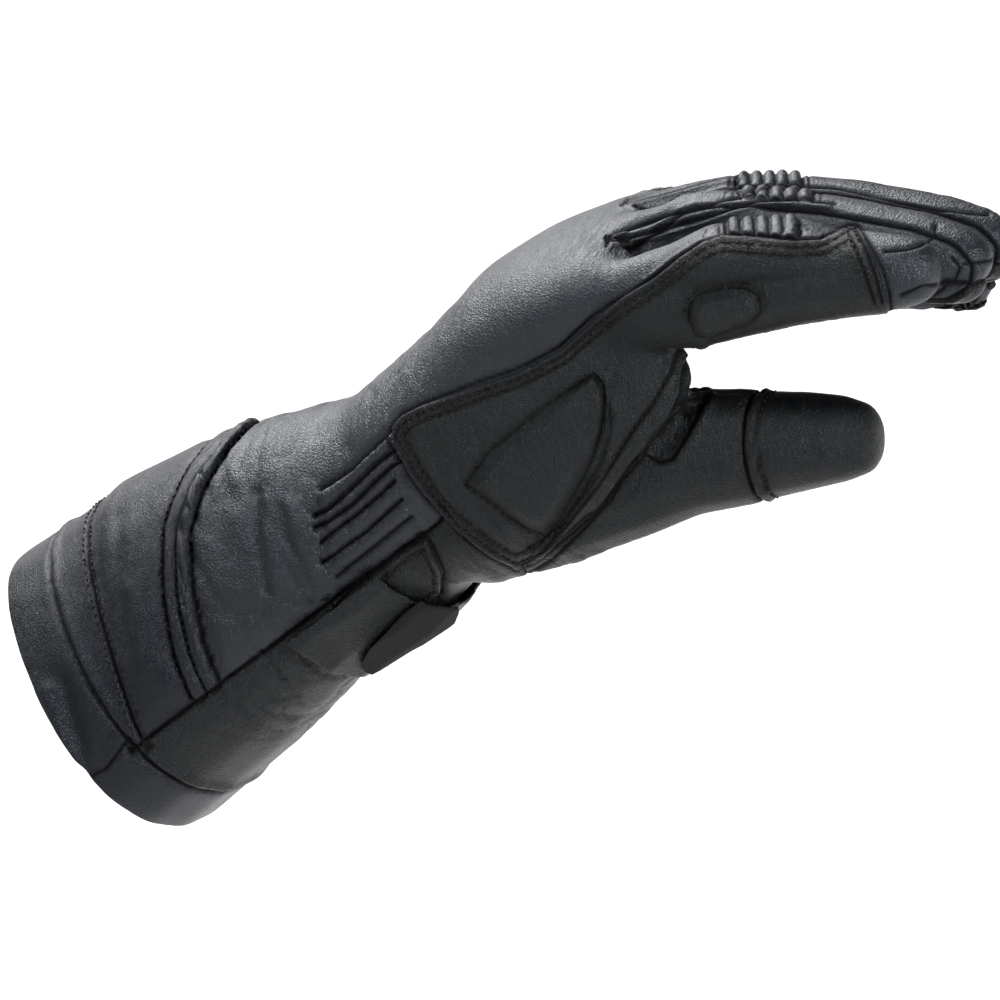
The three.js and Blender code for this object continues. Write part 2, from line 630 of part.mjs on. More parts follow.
// Flex ribs on the fingers: an arched base plate with bars across it
function archBlock(place, length, half, height) {
  const outline = [[-half, 0], [half, 0], [half, height - half * ribFall], [half * ribFlat, height],
    [-half * ribFlat, height], [-half, height - half * ribFall]];
  return block(outline, place.side, place.up, -length / 2, length / 2).translate(...place.point);
}
for (const row of fingerRibRows) {
  const finger = fingerRows[row.finger];
  const half = (ribSpan * finger.width * fingerWidth) / 2;
  const pitch = ribPitch / (finger.length * fingerLength);
  const heightAt = (along) => (finger.depth * fingerDepth / 2)
    * taper(fingerSections.map((section) => [section.along, section.depth]), along);
  const middle = row.from + (pitch * (ribCount - 1)) / 2;
  const plate = archBlock(fingerPlace(finger, middle), (ribCount - 1) * ribPitch + ribWidth + 2 * ribMargin,
    half + ribMargin, heightAt(middle) + seamGap + ribHeight / 2);
  const bars = [];
  for (let i = 0; i < ribCount; i++) {
    const along = row.from + i * pitch;
    bars.push(archBlock(fingerPlace(finger, along), ribWidth, half, heightAt(along) + seamGap + ribHeight));
  }
  const ribs = wasm.Manifold.union([plate, ...bars]).subtract(fingerForm(finger, seamGap));
  add(finger.name + '_ribs', beside(ribs, overlayBlock, [upright]), padColour);
}

// Flex ribs on the wrist
wristRibRows.forEach((row, i) => {
  const [a, b] = [row.start * palmLength, row.end * palmLength];
  const [low, high] = [row.low * wristDepth, row.high * wristDepth];
  const half = wristRibWidth / 2;
  const strip = armBlock([[a, low - half], [b, high - half], [b, high + half], [a, low + half]], -wide, 0);
  add('wrist_rib_' + (i + 1), layer(seamGap, seamGap + ribHeight).intersect(strip), padColour);
});

// Strap: anchor patch on the thumb side, strap round the palm side, and the hook tab over its end
const strapBack = strapMiddle - strapWidth / 2;
const strapFront = strapMiddle + strapWidth / 2;
const rect = (a, b, low, high) => [[a, low], [b, low], [b, high], [a, high]];
const strapLow = strapTop * wristDepth;
const anchorLow = anchorBottom * wristDepth;
const strapLayer = (from, to) => trunk(to, to).subtract(form(from, from));
add('strap_anchor', strapLayer(seamGap, overlayTop)
  .intersect(armBlock(rect(strapBack, anchorReach, anchorLow, strapLow), -wide, 0)));
const strapUnder = overlayTop + seamGap;
const strapOver = strapUnder + overlayThickness;
add('wrist_strap', strapLayer(strapUnder, strapOver)
  .intersect(armBlock(rect(strapBack, strapFront, -wide, strapLow), -wide, wide)));
add('hook_tab', strapLayer(strapOver + seamGap, strapOver + seamGap + overlayThickness)
  .intersect(armBlock(rect(strapBack - tabMargin, strapFront + tabMargin, -wide, tabTop * wristDepth),
    -wide, tabSide * wristWidth)), hookColour);

export default glove;
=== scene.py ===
"""The looks of a left-hand motorcycle gauntlet in black leather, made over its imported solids."""

import itertools
import json
import math

import bmesh
import bpy
import numpy as np
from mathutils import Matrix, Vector, noise
from mathutils.bvhtree import BVHTree


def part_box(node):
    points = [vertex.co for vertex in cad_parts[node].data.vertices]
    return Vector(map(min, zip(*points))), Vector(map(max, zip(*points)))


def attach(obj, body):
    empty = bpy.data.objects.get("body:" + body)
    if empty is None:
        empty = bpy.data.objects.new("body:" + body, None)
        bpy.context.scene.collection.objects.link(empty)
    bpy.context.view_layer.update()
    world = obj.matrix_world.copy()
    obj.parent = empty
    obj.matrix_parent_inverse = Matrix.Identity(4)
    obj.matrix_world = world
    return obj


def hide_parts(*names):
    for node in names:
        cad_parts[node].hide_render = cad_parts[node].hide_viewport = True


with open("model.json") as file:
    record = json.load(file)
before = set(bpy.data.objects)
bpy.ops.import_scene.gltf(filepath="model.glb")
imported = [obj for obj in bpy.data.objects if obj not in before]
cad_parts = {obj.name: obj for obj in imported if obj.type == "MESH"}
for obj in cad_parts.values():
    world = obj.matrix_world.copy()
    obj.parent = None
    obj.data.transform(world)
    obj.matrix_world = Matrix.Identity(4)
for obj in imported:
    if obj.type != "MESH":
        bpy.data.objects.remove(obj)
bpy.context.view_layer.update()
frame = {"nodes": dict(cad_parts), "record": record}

bl_info = {
    "name": "Motorcycle gauntlet",
    "version": (1, 0, 0),
    "blender": (4, 5, 0),
    "location": "3D View > Sidebar > Gauntlet",
    "description": "Leather, seams, ribs, pads, stitches and strap of a riding glove",
    "category": "Object",
}

# Millimetres in a metre
MM = 1000

# View of the picture that the seams were read from: degrees, and millimetres of the glove per pixel
AZIMUTH, ELEVATION = 20.0, 18.0
PIXEL = 0.275
ORIGIN_AT = (390.0, 500.0)
ARM_SLOPE = math.radians(40)

TURN, RISE = math.radians(AZIMUTH), math.radians(ELEVATION)

# Directions: towards the camera, right and up in the picture, along the forearm, and out of its back
BACK = np.array([math.sin(TURN) * math.cos(RISE), -math.cos(TURN) * math.cos(RISE), math.sin(RISE)])
RIGHT = np.array([math.cos(TURN), math.sin(TURN), 0.0])
UP = np.cross(BACK, RIGHT)
FORWARD = np.array([math.cos(ARM_SLOPE), 0.0, math.sin(ARM_SLOPE)])
DORSAL = np.array([-math.sin(ARM_SLOPE), 0.0, math.cos(ARM_SLOPE)])

# Panels of the shell, by where they are
CUFF_BACK = ["cuff_back_border", "cuff_back_panel"]
FINGERS = ["index", "middle", "ring", "little"]
FINGER_BACKS = [name + "_back" for name in FINGERS]
UNDERSIDES = [name + "_underside" for name in FINGERS]
FOURCHETTES = ["fourchette_index_middle", "fourchette_middle_ring", "fourchette_ring_little"]
THUMB = ["thumb_near_panel", "thumb_far_panel", "thumb_tip"]
BACK_SIDE = CUFF_BACK + ["back_panel"] + FINGER_BACKS
PALM_SIDE = ["cuff_palm_panel", "palm_panel"] + UNDERSIDES
SHELL = ["hem_band"] + BACK_SIDE + PALM_SIDE + FOURCHETTES + THUMB + ["index_tip"]
FINGERS_AND_THUMB = FINGER_BACKS + UNDERSIDES + FOURCHETTES + THUMB + ["index_tip"]

# Seams of the shell: the panels before and past each
SEAMS = {
    "hem": (["hem_band"], CUFF_BACK + ["cuff_palm_panel"]),
    "border": (["cuff_back_border"], ["cuff_back_panel"]),
    "piping": (["cuff_back_panel"], ["back_panel"]),
    "side": (BACK_SIDE, PALM_SIDE),
    "cross": (["cuff_palm_panel"], ["palm_panel"]),
    "fourchette": (FOURCHETTES, BACK_SIDE + PALM_SIDE),
    "thumb_edge": (["thumb_near_panel"], ["thumb_far_panel"]),
    "thumb_tip": (["thumb_near_panel", "thumb_far_panel"], ["thumb_tip"]),
    "thumb_root": (THUMB, ["palm_panel", "back_panel"]),
    "index_tip": (["index_tip"], ["index_back", "index_underside", "fourchette_index_middle"]),
}

# Outlines on the thumb side, in pixels of the picture
OVERLAY = [
    (391, 438), (392, 429), (405, 415), (425, 406), (453, 396), (485, 384), (516, 374), (540, 362), (560, 351),
    (578, 334), (594, 320), (622, 301), (654, 281), (680, 261), (700, 248), (719, 242), (741, 243), (789, 247),
    (815, 246), (830, 239), (843, 231), (850, 231), (857, 241), (864, 256), (872, 276), (879, 300), (884, 330),
    (760, 350), (700, 358), (690, 352), (679, 366), (673, 394), (654, 428), (622, 472), (598, 508), (569, 533),
    (535, 559), (516, 568), (496, 558), (477, 545), (458, 530), (441, 513), (425, 494), (411, 475), (398, 452),
]
SHIELD = [
    (468, 482), (489, 453), (516, 431), (550, 404), (593, 375), (602, 385), (604, 400), (603, 414), (599, 434),
    (593, 453), (584, 473), (574, 491), (560, 515), (545, 533), (525, 525), (511, 515), (496, 503),
]
OVAL = [
    (687, 320), (688, 309), (693, 300), (708, 295), (722, 292), (741, 292), (754, 299), (757, 312), (746, 324),
    (725, 332), (706, 338), (693, 335),
]
GUSSET = [
    (646, 447), (651, 434), (665, 418), (678, 404), (694, 398), (705, 399), (694, 418), (681, 442), (670, 460),
    (657, 463), (643, 455),
]
STRAP_PATCH = [
    (340, 606), (366, 583), (397, 558), (412, 547), (426, 540), (431, 547), (436, 558), (442, 572), (440, 591),
    (424, 603), (405, 620), (386, 637), (372, 654), (361, 668), (335, 660), (325, 640),
]
PATCHES = {
    "side_overlay": OVERLAY, "thumb_gusset": GUSSET, "shield_pad": SHIELD, "oval_pad": OVAL,
    "strap_anchor": STRAP_PATCH,
}

# Lines on the thumb side, in pixels of the picture
RIB_GROOVES = [
    [(321, 488), (340, 477), (353, 467), (368, 453), (382, 441), (391, 432)],
    [(314, 515), (326, 510), (336, 503), (352, 488), (367, 474), (380, 462), (394, 452)],
    [(314, 528), (328, 522), (353, 505), (376, 482), (394, 466), (401, 463)],
    [(321, 543), (334, 532), (355, 517), (380, 496), (396, 481)],
    [(322, 564), (328, 560), (347, 546), (367, 532), (386, 515), (403, 499)],
    [(337, 578), (357, 561), (386, 538), (412, 517)],
]
WEB_GROOVE = [(673, 352), (667, 375), (651, 404), (630, 431), (598, 479), (568, 517), (526, 560)]
WEB_RIM = [(700, 345), (692, 362), (684, 380), (667, 405), (651, 420), (619, 452), (587, 495), (556, 532), (534, 552)]
TIP_SEAM = [(850, 237), (858, 254), (867, 276), (875, 303)]
NAIL_SEAM = [(877, 256), (890, 255), (902, 253), (913, 250), (921, 246), (927, 239), (929, 230)]
OVERLAY_EDGE = [
    (558, 533), (535, 559), (516, 568), (496, 558), (477, 545), (458, 530), (441, 513), (425, 494), (411, 475),
    (398, 452), (391, 438), (392, 429), (413, 418), (451, 401), (488, 389), (513, 381), (538, 370), (560, 354),
    (587, 335), (612, 313), (640, 293), (668, 273), (700, 252), (719, 246), (741, 247), (789, 249), (815, 248),
    (835, 240),
]

# Grooves and ridges that the picture shows: depth or height and half width in millimetres, then pixels
GROOVES = [
    (0.7, 0.6, WEB_GROOVE),
    (0.5, 0.5, [(643, 448), (630, 466), (609, 501), (582, 530), (552, 560), (530, 572)]),
    (0.45, 0.5, TIP_SEAM),
    (0.35, 0.5, [(842, 240), (850, 256), (859, 278), (868, 304)]),
    (0.7, 0.55, NAIL_SEAM),
    (0.6, 0.6, [(130, 738), (106, 769), (86, 780)]),
    (1.6, 3.0, [(58, 680), (72, 725), (88, 768)]),
    (0.5, 2.2, [(118, 722), (100, 752)]),
    (1.0, 1.4, [(255, 492), (257, 530), (262, 560), (269, 592)]),
    (0.8, 1.3, [(281, 509), (287, 532), (301, 562), (313, 590)]),
    (0.7, 1.2, [(290, 560), (297, 582), (311, 604)]),
    (0.6, 1.6, [(225, 470), (219, 520), (224, 560)]),
    (0.6, 2.4, [(203, 600), (207, 640), (216, 672)]),
    (0.5, 1.8, [(122, 520), (119, 570), (126, 620), (140, 668)]),
    (0.6, 0.9, [(612, 378), (609, 402), (610, 430), (598, 462), (578, 494), (552, 532)]),
    (0.5, 1.0, [(437, 492), (447, 505), (456, 520)]),
    (0.9, 0.6, [(605, 250), (609, 239), (615, 236), (633, 230), (664, 220), (702, 211), (727, 203), (753, 197),
                (779, 191), (804, 190), (830, 191), (855, 197), (893, 206), (932, 214), (983, 217)]),
    (0.8, 0.5, [(612, 245), (625, 243), (660, 233), (700, 222), (726, 214), (755, 206), (790, 205), (830, 207)]),
    (0.9, 0.5, [(621, 208), (628, 200), (655, 193), (679, 186), (710, 179), (738, 174)]),
    (0.6, 0.45, [(626, 206), (655, 199), (684, 191), (712, 183), (738, 178)]),
    (0.5, 0.5, [(944, 262), (952, 272), (946, 288), (925, 300)]),
    (0.5, 0.6, [(956, 268), (975, 266), (992, 262)]),
    (0.7, 0.6, [(893, 300), (915, 291), (940, 287), (965, 287), (990, 284)]),
]
RIDGES = [
    (1.0, 1.5, WEB_RIM),
    (0.9, 1.5, [(606, 380), (613, 418), (606, 457), (588, 492), (562, 525), (540, 546)]),
    (0.7, 0.75, [(605, 251), (625, 248), (664, 238), (702, 227), (727, 218), (753, 211), (791, 209), (825, 212)]),
    (0.5, 0.6, [(612, 241), (640, 234), (665, 226), (700, 217), (724, 210)]),
    (0.6, 0.7, [(621, 210), (640, 204), (668, 197), (719, 185), (740, 182)]),
    (0.5, 0.7, [(596, 324), (634, 291), (668, 264), (695, 247), (719, 241), (741, 242), (789, 243), (815, 242)]),
    (0.8, 2.4, [(46, 690), (60, 735), (72, 762)]),
    (0.7, 1.8, [(264, 500), (270, 545), (279, 588)]),
    (0.6, 1.6, [(293, 505), (303, 545), (318, 580)]),
    (0.6, 2.2, [(134, 590), (140, 625), (150, 668)]),
    (0.5, 1.4, [(440, 487), (452, 503), (462, 520)]),
    (0.4, 1.0, [(852, 262), (862, 282), (870, 300)]),
]

# Rows of stitches along lines of the picture
SEWN = [WEB_GROOVE, [(846, 250), (856, 268), (866, 292)], [(840, 254), (850, 272), (860, 296)]]

# Outline of the hook-and-loop tab
HOOK_TAB = [
    (361, 664), (365, 672), (372, 675), (380, 671), (412, 651), (447, 633), (455, 623), (459, 613), (458, 603),
    (452, 590), (430, 590), (405, 612), (386, 633), (370, 649),
]

# Roots of the fingers, over which the leather is drawn smooth: pixels, and reach in millimetres
WEBS = [(622, 250, 10.0), (640, 243, 11.0), (662, 236, 9.0), (633, 206, 7.0), (655, 200, 7.0)]

# Where seams and rows of stitches run, in millimetres: the pipings end this far from the seam between them,
# the overlay's double row lies this far inside its edge, and so do the rows of the strap's patch and thumb tip
PIPING_LOW, PIPING_HIGH = -4.4, 4.5
DOUBLE_ROW = (1.8, 3.8)
PATCH_ROW, THUMB_ROW, EDGE_REACH = 1.8, 4.2, 6

# Grooves narrower than this get as much painted shade as a seam, and wider ones this share of it
FINE, FOLD_SHADE = 0.7, 0.2

# Further than anything measured, in millimetres
FAR = 99.0

# Rounds in which the facets even out, and how far the index finger's back is lifted, in millimetres
FORM_ROUNDS, INDEX_LIFT = 70, 3.4

# Directions in which a point of the outer face may see out
WAYS_OUT = [
    Vector(way).normalized() for way in itertools.product((-1, 0, 1), repeat=3) if any(way)]

# Each halving of the mesh near seams: millimetres from a seam, and how much less of them out of sight
REFINED = [(1.8, 0.0), (0.85, 0.75)]

# Millimetres that the solids swell so that their seams close, and that the leather stands proud of them
SWELL, SEAM_COVER = 0.9, 0.3

# Flex ribs that the picture shows: pixels across of their middle, and from one to the next
RIB_PIXELS = {"index": (758, 13.8), "middle": (773, 13.9), "ring": (767, 12.6)}

# Millimetres from one rib to the next, and how far towards the thumb the ribs of two fingers begin
RIB_PITCH, RIB_STARTS = 3.8, {"index": -11.5, "middle": -4.5}

# How many ribs the padded piece reaches each way from its middle one
RIBS_REACH = 2.65

# Flex ribs on the fingers: degrees that the finger points above level and to the little finger's side there
KNUCKLE_RIBS = {"index": (14.3, -3.0), "middle": (6.5, -1.0), "ring": (6.7, 1.5), "little": (-0.6, 5.0)}


def length_choice(name, description, default, low, high):
    """A length in metres that a user may change."""
    return bpy.props.FloatProperty(
        name=name, description=description, default=default, min=low, max=high, unit="LENGTH")


def colour_choice(name, description, default):
    """A colour that a user may change."""
    return bpy.props.FloatVectorProperty(
        name=name, description=description, subtype="COLOR", min=0, max=1, default=default)


class GauntletSizes(bpy.types.PropertyGroup):
    """Sizes that a user may change."""

    voxel: length_choice("Mesh size", "Spacing of the leather's mesh before its seams", 0.0013, 0.0008, 0.003)
    wall: length_choice("Leather", "Thickness of a leather wall with its lining", 0.0016, 0.0005, 0.003)
    overlay: length_choice("Overlay", "How far the second layer of leather stands proud", 0.0012, 0.0002, 0.003)
    pad: length_choice("Pads", "How far the padded pieces stand proud of the overlay", 0.003, 0.0002, 0.005)
    rib: length_choice("Flex ribs", "Height of a flex rib", 0.0019, 0.0002, 0.004)
    stitch: length_choice("Stitch", "Length of one stitch", 0.0016, 0.001, 0.005)
    pitch: length_choice("Stitch pitch", "From one stitch to the next", 0.0024, 0.0015, 0.008)


class GauntletColours(bpy.types.PropertyGroup):
    """Colours that a user may change."""

    back: colour_choice("Back leather", "Leather on the back of the hand", (0.0062, 0.0070, 0.0092))
    palm: colour_choice("Palm leather", "Leather of the palm, thumb and overlay", (0.0030, 0.0034, 0.0038))
    trim: colour_choice("Trim leather", "Smooth leather of the cuff", (0.0032, 0.0038, 0.0058))
    tab: colour_choice("Hook and loop", "Hook-and-loop tab", (0.004, 0.004, 0.0045))
    thread: colour_choice("Thread", "Sewing thread", (0.0022, 0.0022, 0.0026))
    lining: colour_choice("Lining", "Cloth inside the glove", (0.012, 0.012, 0.013))
    floor: colour_choice("Floor", "Floor under the glove", (0.2, 0.2, 0.2))


# Shader maths


class Amount:
    """A number that comes out of a shader node, and takes part in sums."""

    def __init__(self, finish, socket):
        self.finish, self.socket = finish, socket

    def sum(self, operation, first, second=None):
        values = {0: first} if second is None else {0: first, 1: second}
        return self.finish.amount("ShaderNodeMath", {"operation": operation}, values)

    def __add__(self, other):
        return self.sum("ADD", self, other)

    def __radd__(self, other):
        return self.sum("ADD", other, self)

    def __sub__(self, other):
        return self.sum("SUBTRACT", self, other)

    def __rsub__(self, other):
        return self.sum("SUBTRACT", other, self)

    def __mul__(self, other):
        return self.sum("MULTIPLY", self, other)

    def __rmul__(self, other):
        return self.sum("MULTIPLY", other, self)


class Finish:
    """A material in the making."""

    def __init__(self, name):
        self.material = bpy.data.materials.new(name)
        self.material.use_nodes = True
        self.tree = self.material.node_tree
        self.surface = self.tree.nodes["Principled BSDF"]

    def node(self, kind, settings=None, values=None):
        made = self.tree.nodes.new(kind)
        for key, value in (settings or {}).items():
            setattr(made, key, value)
        for key, value in (values or {}).items():
            self.feed(made.inputs[key], value)
        return made

    def feed(self, socket, value):
        if isinstance(value, Amount):
            self.tree.links.new(value.socket, socket)
        elif isinstance(value, bpy.types.NodeSocket):
            self.tree.links.new(value, socket)
        else:
            socket.default_value = value

    def amount(self, kind, settings=None, values=None, output=0):
        return Amount(self, self.node(kind, settings, values).outputs[output])

    def mottle(self, where, scale, detail, roughness=0.5, distortion=0.0):
        return self.amount("ShaderNodeTexNoise", None, {
            "Vector": where, "Scale": scale, "Detail": detail, "Roughness": roughness,
            "Distortion": distortion}, "Fac")

    def set(self, **values):
        for key, value in values.items():
            self.feed(self.surface.inputs[key.replace("_", " ").title().replace("Ior", "IOR")], value)

    def relief(self, height, distance):
        bump = self.node("ShaderNodeBump", None, {"Height": height, "Distance": distance, "Strength": 1.0})
        self.feed(self.surface.inputs["Normal"], bump.outputs["Normal"])

    def paint_shade(self, share):
        """Mixes in a dull black as painted shade, as deep in a seam."""
        deep = self.node("ShaderNodeBsdfPrincipled", None, {
            "Base Color": (0.001, 0.001, 0.0012, 1.0), "Roughness": 0.8, "Specular IOR Level": 0.05})
        mix = self.node("ShaderNodeMixShader", None, {0: share})
        self.tree.links.new(self.surface.outputs[0], mix.inputs[1])
        self.tree.links.new(deep.outputs[0], mix.inputs[2])
        self.tree.links.new(mix.outputs[0], self.tree.nodes["Material Output"].inputs["Surface"])

    def place(self, scale=(1, 1, 1), rotation=(0, 0, 0)):
        where = self.node("ShaderNodeTexCoord").outputs["Object"]
        if scale == (1, 1, 1) and rotation == (0, 0, 0):
            return where
        return self.node("ShaderNodeMapping", None, {
            "Vector": where, "Scale": scale, "Rotation": rotation}).outputs["Vector"]

    def blend(self, factor, first, second):
        mix = self.node("ShaderNodeMix", {"data_type": "RGBA"}, {"Factor": factor})
        self.feed(mix.inputs["A"], first)
        self.feed(mix.inputs["B"], second)
        return mix.outputs["Result"]


def shade(colour, factor):
    return (colour[0] * factor, colour[1] * factor, colour[2] * factor, 1.0)


def leather(name, colour, grain, depth, roughness, crease, gloss, sheen):
    """Black leather: pebbled grain of a size in metres, creased across the arm, and dull and dark with painted shade
    in its seams and grooves.
    """
    finish = Finish(name)
    where = finish.place()
    drift = finish.node("ShaderNodeTexNoise", None, {"Vector": where, "Scale": 90.0, "Detail": 2.0})
    shifted = finish.node("ShaderNodeVectorMath", {"operation": "MULTIPLY_ADD"}, {
        0: drift.outputs["Color"], 1: (0.004, 0.004, 0.004), 2: where}).outputs["Vector"]
    cells = finish.amount("ShaderNodeTexVoronoi", {"feature": "DISTANCE_TO_EDGE"}, {
        "Vector": shifted, "Scale": 1 / grain, "Randomness": 1.0}, "Distance")
    pebble = cells.sum("MINIMUM", cells * 3.5, 1.0)
    pores = finish.mottle(where, 1.4 / grain, 4.0, 0.65)
    across = finish.place(scale=(1.0, 0.3, 0.4), rotation=(0, ARM_SLOPE, 0))
    creases = finish.mottle(across, 0.5 / grain, 5.0, 0.6, 0.6)
    valley = creases.sum("ABSOLUTE", creases - 0.5)
    valley = valley.sum("MINIMUM", valley * 9.0, 1.0)
    patches = finish.mottle(where, 38.0, 3.0)
    # The seam attribute is painted shade of seams, grooves and folds: it mixes in a dull black and roughens the
    # leather there
    seam = finish.amount("ShaderNodeAttribute", {"attribute_name": "seam"}, None, "Fac")
    finish.relief(pebble * 0.45 + pores * 0.5 + (creases + valley * 0.35) * crease, depth)
    finish.paint_shade(seam * 0.85)
    # Base colour: random patches of tone, and a quarter as bright with painted shade in seams and grooves
    finish.set(
        specular_ior_level=gloss, specular_tint=sheen,
        roughness=roughness + (patches - 0.5) * 0.1 + (pores - 0.5) * 0.15 + seam * 0.25,
        base_color=finish.blend(
            seam, finish.blend(patches, shade(colour, 0.75), shade(colour, 1.3)), shade(colour, 0.25)))
    return finish.material


def woven(name, colour, thread, depth, roughness):
    """Cloth: fine crossing threads."""
    finish = Finish(name)
    where = finish.place()
    fuzz = finish.mottle(where, 1 / thread, 6.0, 0.8)
    loops = finish.amount("ShaderNodeTexVoronoi", {"feature": "F1"}, {
        "Vector": where, "Scale": 0.8 / thread}, "Distance")
    finish.relief(fuzz + loops * 0.8, depth)
    finish.set(
        specular_ior_level=0.15, roughness=roughness + (fuzz - 0.5) * 0.1,
        base_color=finish.blend(fuzz, shade(colour, 0.5), shade(colour, 1.6)))
    return finish.material


# Tints of the leathers' gloss
BLUISH, FAINTLY_BLUE = (0.86, 0.91, 1.0, 1.0), (0.9, 0.96, 1.0, 1.0)

finishes = {}


def finish_of(name):
    """A finish by its name, all of which are made at the first call."""
    if not finishes:
        colours = bpy.context.scene.gauntlet_colours
        finishes.update(
            back_leather=leather("back_leather", colours.back, 0.001, 0.00021, 0.43, 1.1, 0.3, BLUISH),
            palm_leather=leather("palm_leather", colours.palm, 0.0008, 0.00028, 0.35, 1.4, 0.18, FAINTLY_BLUE),
            trim_leather=leather("trim_leather", colours.trim, 0.0006, 0.00016, 0.32, 0.8, 0.2, BLUISH),
            hook_and_loop=woven("hook_and_loop", colours.tab, 0.0005, 0.0004, 0.9),
            thread=woven("thread", colours.thread, 0.0003, 0.0001, 0.55),
            lining=woven("lining", colours.lining, 0.0006, 0.0002, 0.85),
        )
    return finishes[name]


# Meshes and objects


def opened(mesh):
    """A mesh opened for editing."""
    bm = bmesh.new()
    bm.from_mesh(mesh)
    return bm


def mesh_of(bm, name):
    """The mesh of finished editing, which is let go."""
    mesh = bpy.data.meshes.new(name)
    bm.to_mesh(mesh)
    bm.free()
    return mesh


def linked(name, data):
    """An object of the scene that shows a mesh, light or camera."""
    made = bpy.data.objects.new(name, data)
    bpy.context.scene.collection.objects.link(made)
    return made


# Measuring on the glove, in millimetres


def in_picture(points):
    """Pixels of the picture at which points of the glove are seen."""
    return np.stack([ORIGIN_AT[0] + points @ RIGHT / PIXEL, ORIGIN_AT[1] - points @ UP / PIXEL], 1)


def picture_place(u, v):
    """The place in metres, level with the origin, at which the picture shows a pixel."""
    return (RIGHT * (u - ORIGIN_AT[0]) - UP * (v - ORIGIN_AT[1])) * PIXEL / MM


def step(value, low, high):
    """0 below low and 1 above high, smooth between them."""
    t = np.clip((value - low) / (high - low), 0, 1)
    return t * t * (3 - 2 * t)


def bell(value, width):
    """1 at 0, and near 0 beyond twice the width."""
    return np.exp(-((value / width) ** 2))


def from_line(pixels, line, reach=12.0):
    """Millimetres in the picture from each pixel to a line, up to reach."""
    points = np.array(line, float)
    margin = reach / PIXEL
    best = np.full(len(pixels), margin)
    for a, b in zip(points[:-1], points[1:]):
        low, high = np.minimum(a, b) - margin, np.maximum(a, b) + margin
        close = np.nonzero(((pixels > low) & (pixels < high)).all(1))[0]
        along = b - a
        offset = pixels[close] - a
        t = np.clip(offset @ along / (along @ along), 0, 1)
        best[close] = np.minimum(best[close], np.linalg.norm(offset - t[:, None] * along, axis=1))
    return best * PIXEL


def into_outline(pixels, outline, reach=12.0):
    """Millimetres that each pixel lies inside a closed outline, less than 0 outside it, up to reach."""
    closed = list(outline) + [outline[0]]
    inside = np.zeros(len(pixels), bool)
    for (ax, ay), (bx, by) in zip(closed[:-1], closed[1:]):
        if ay != by:
            crosses = (ay > pixels[:, 1]) != (by > pixels[:, 1])
            inside ^= crosses & (pixels[:, 0] < ax + (pixels[:, 1] - ay) * (bx - ax) / (by - ay))
    return from_line(pixels, closed, reach) * np.where(inside, 1, -1)


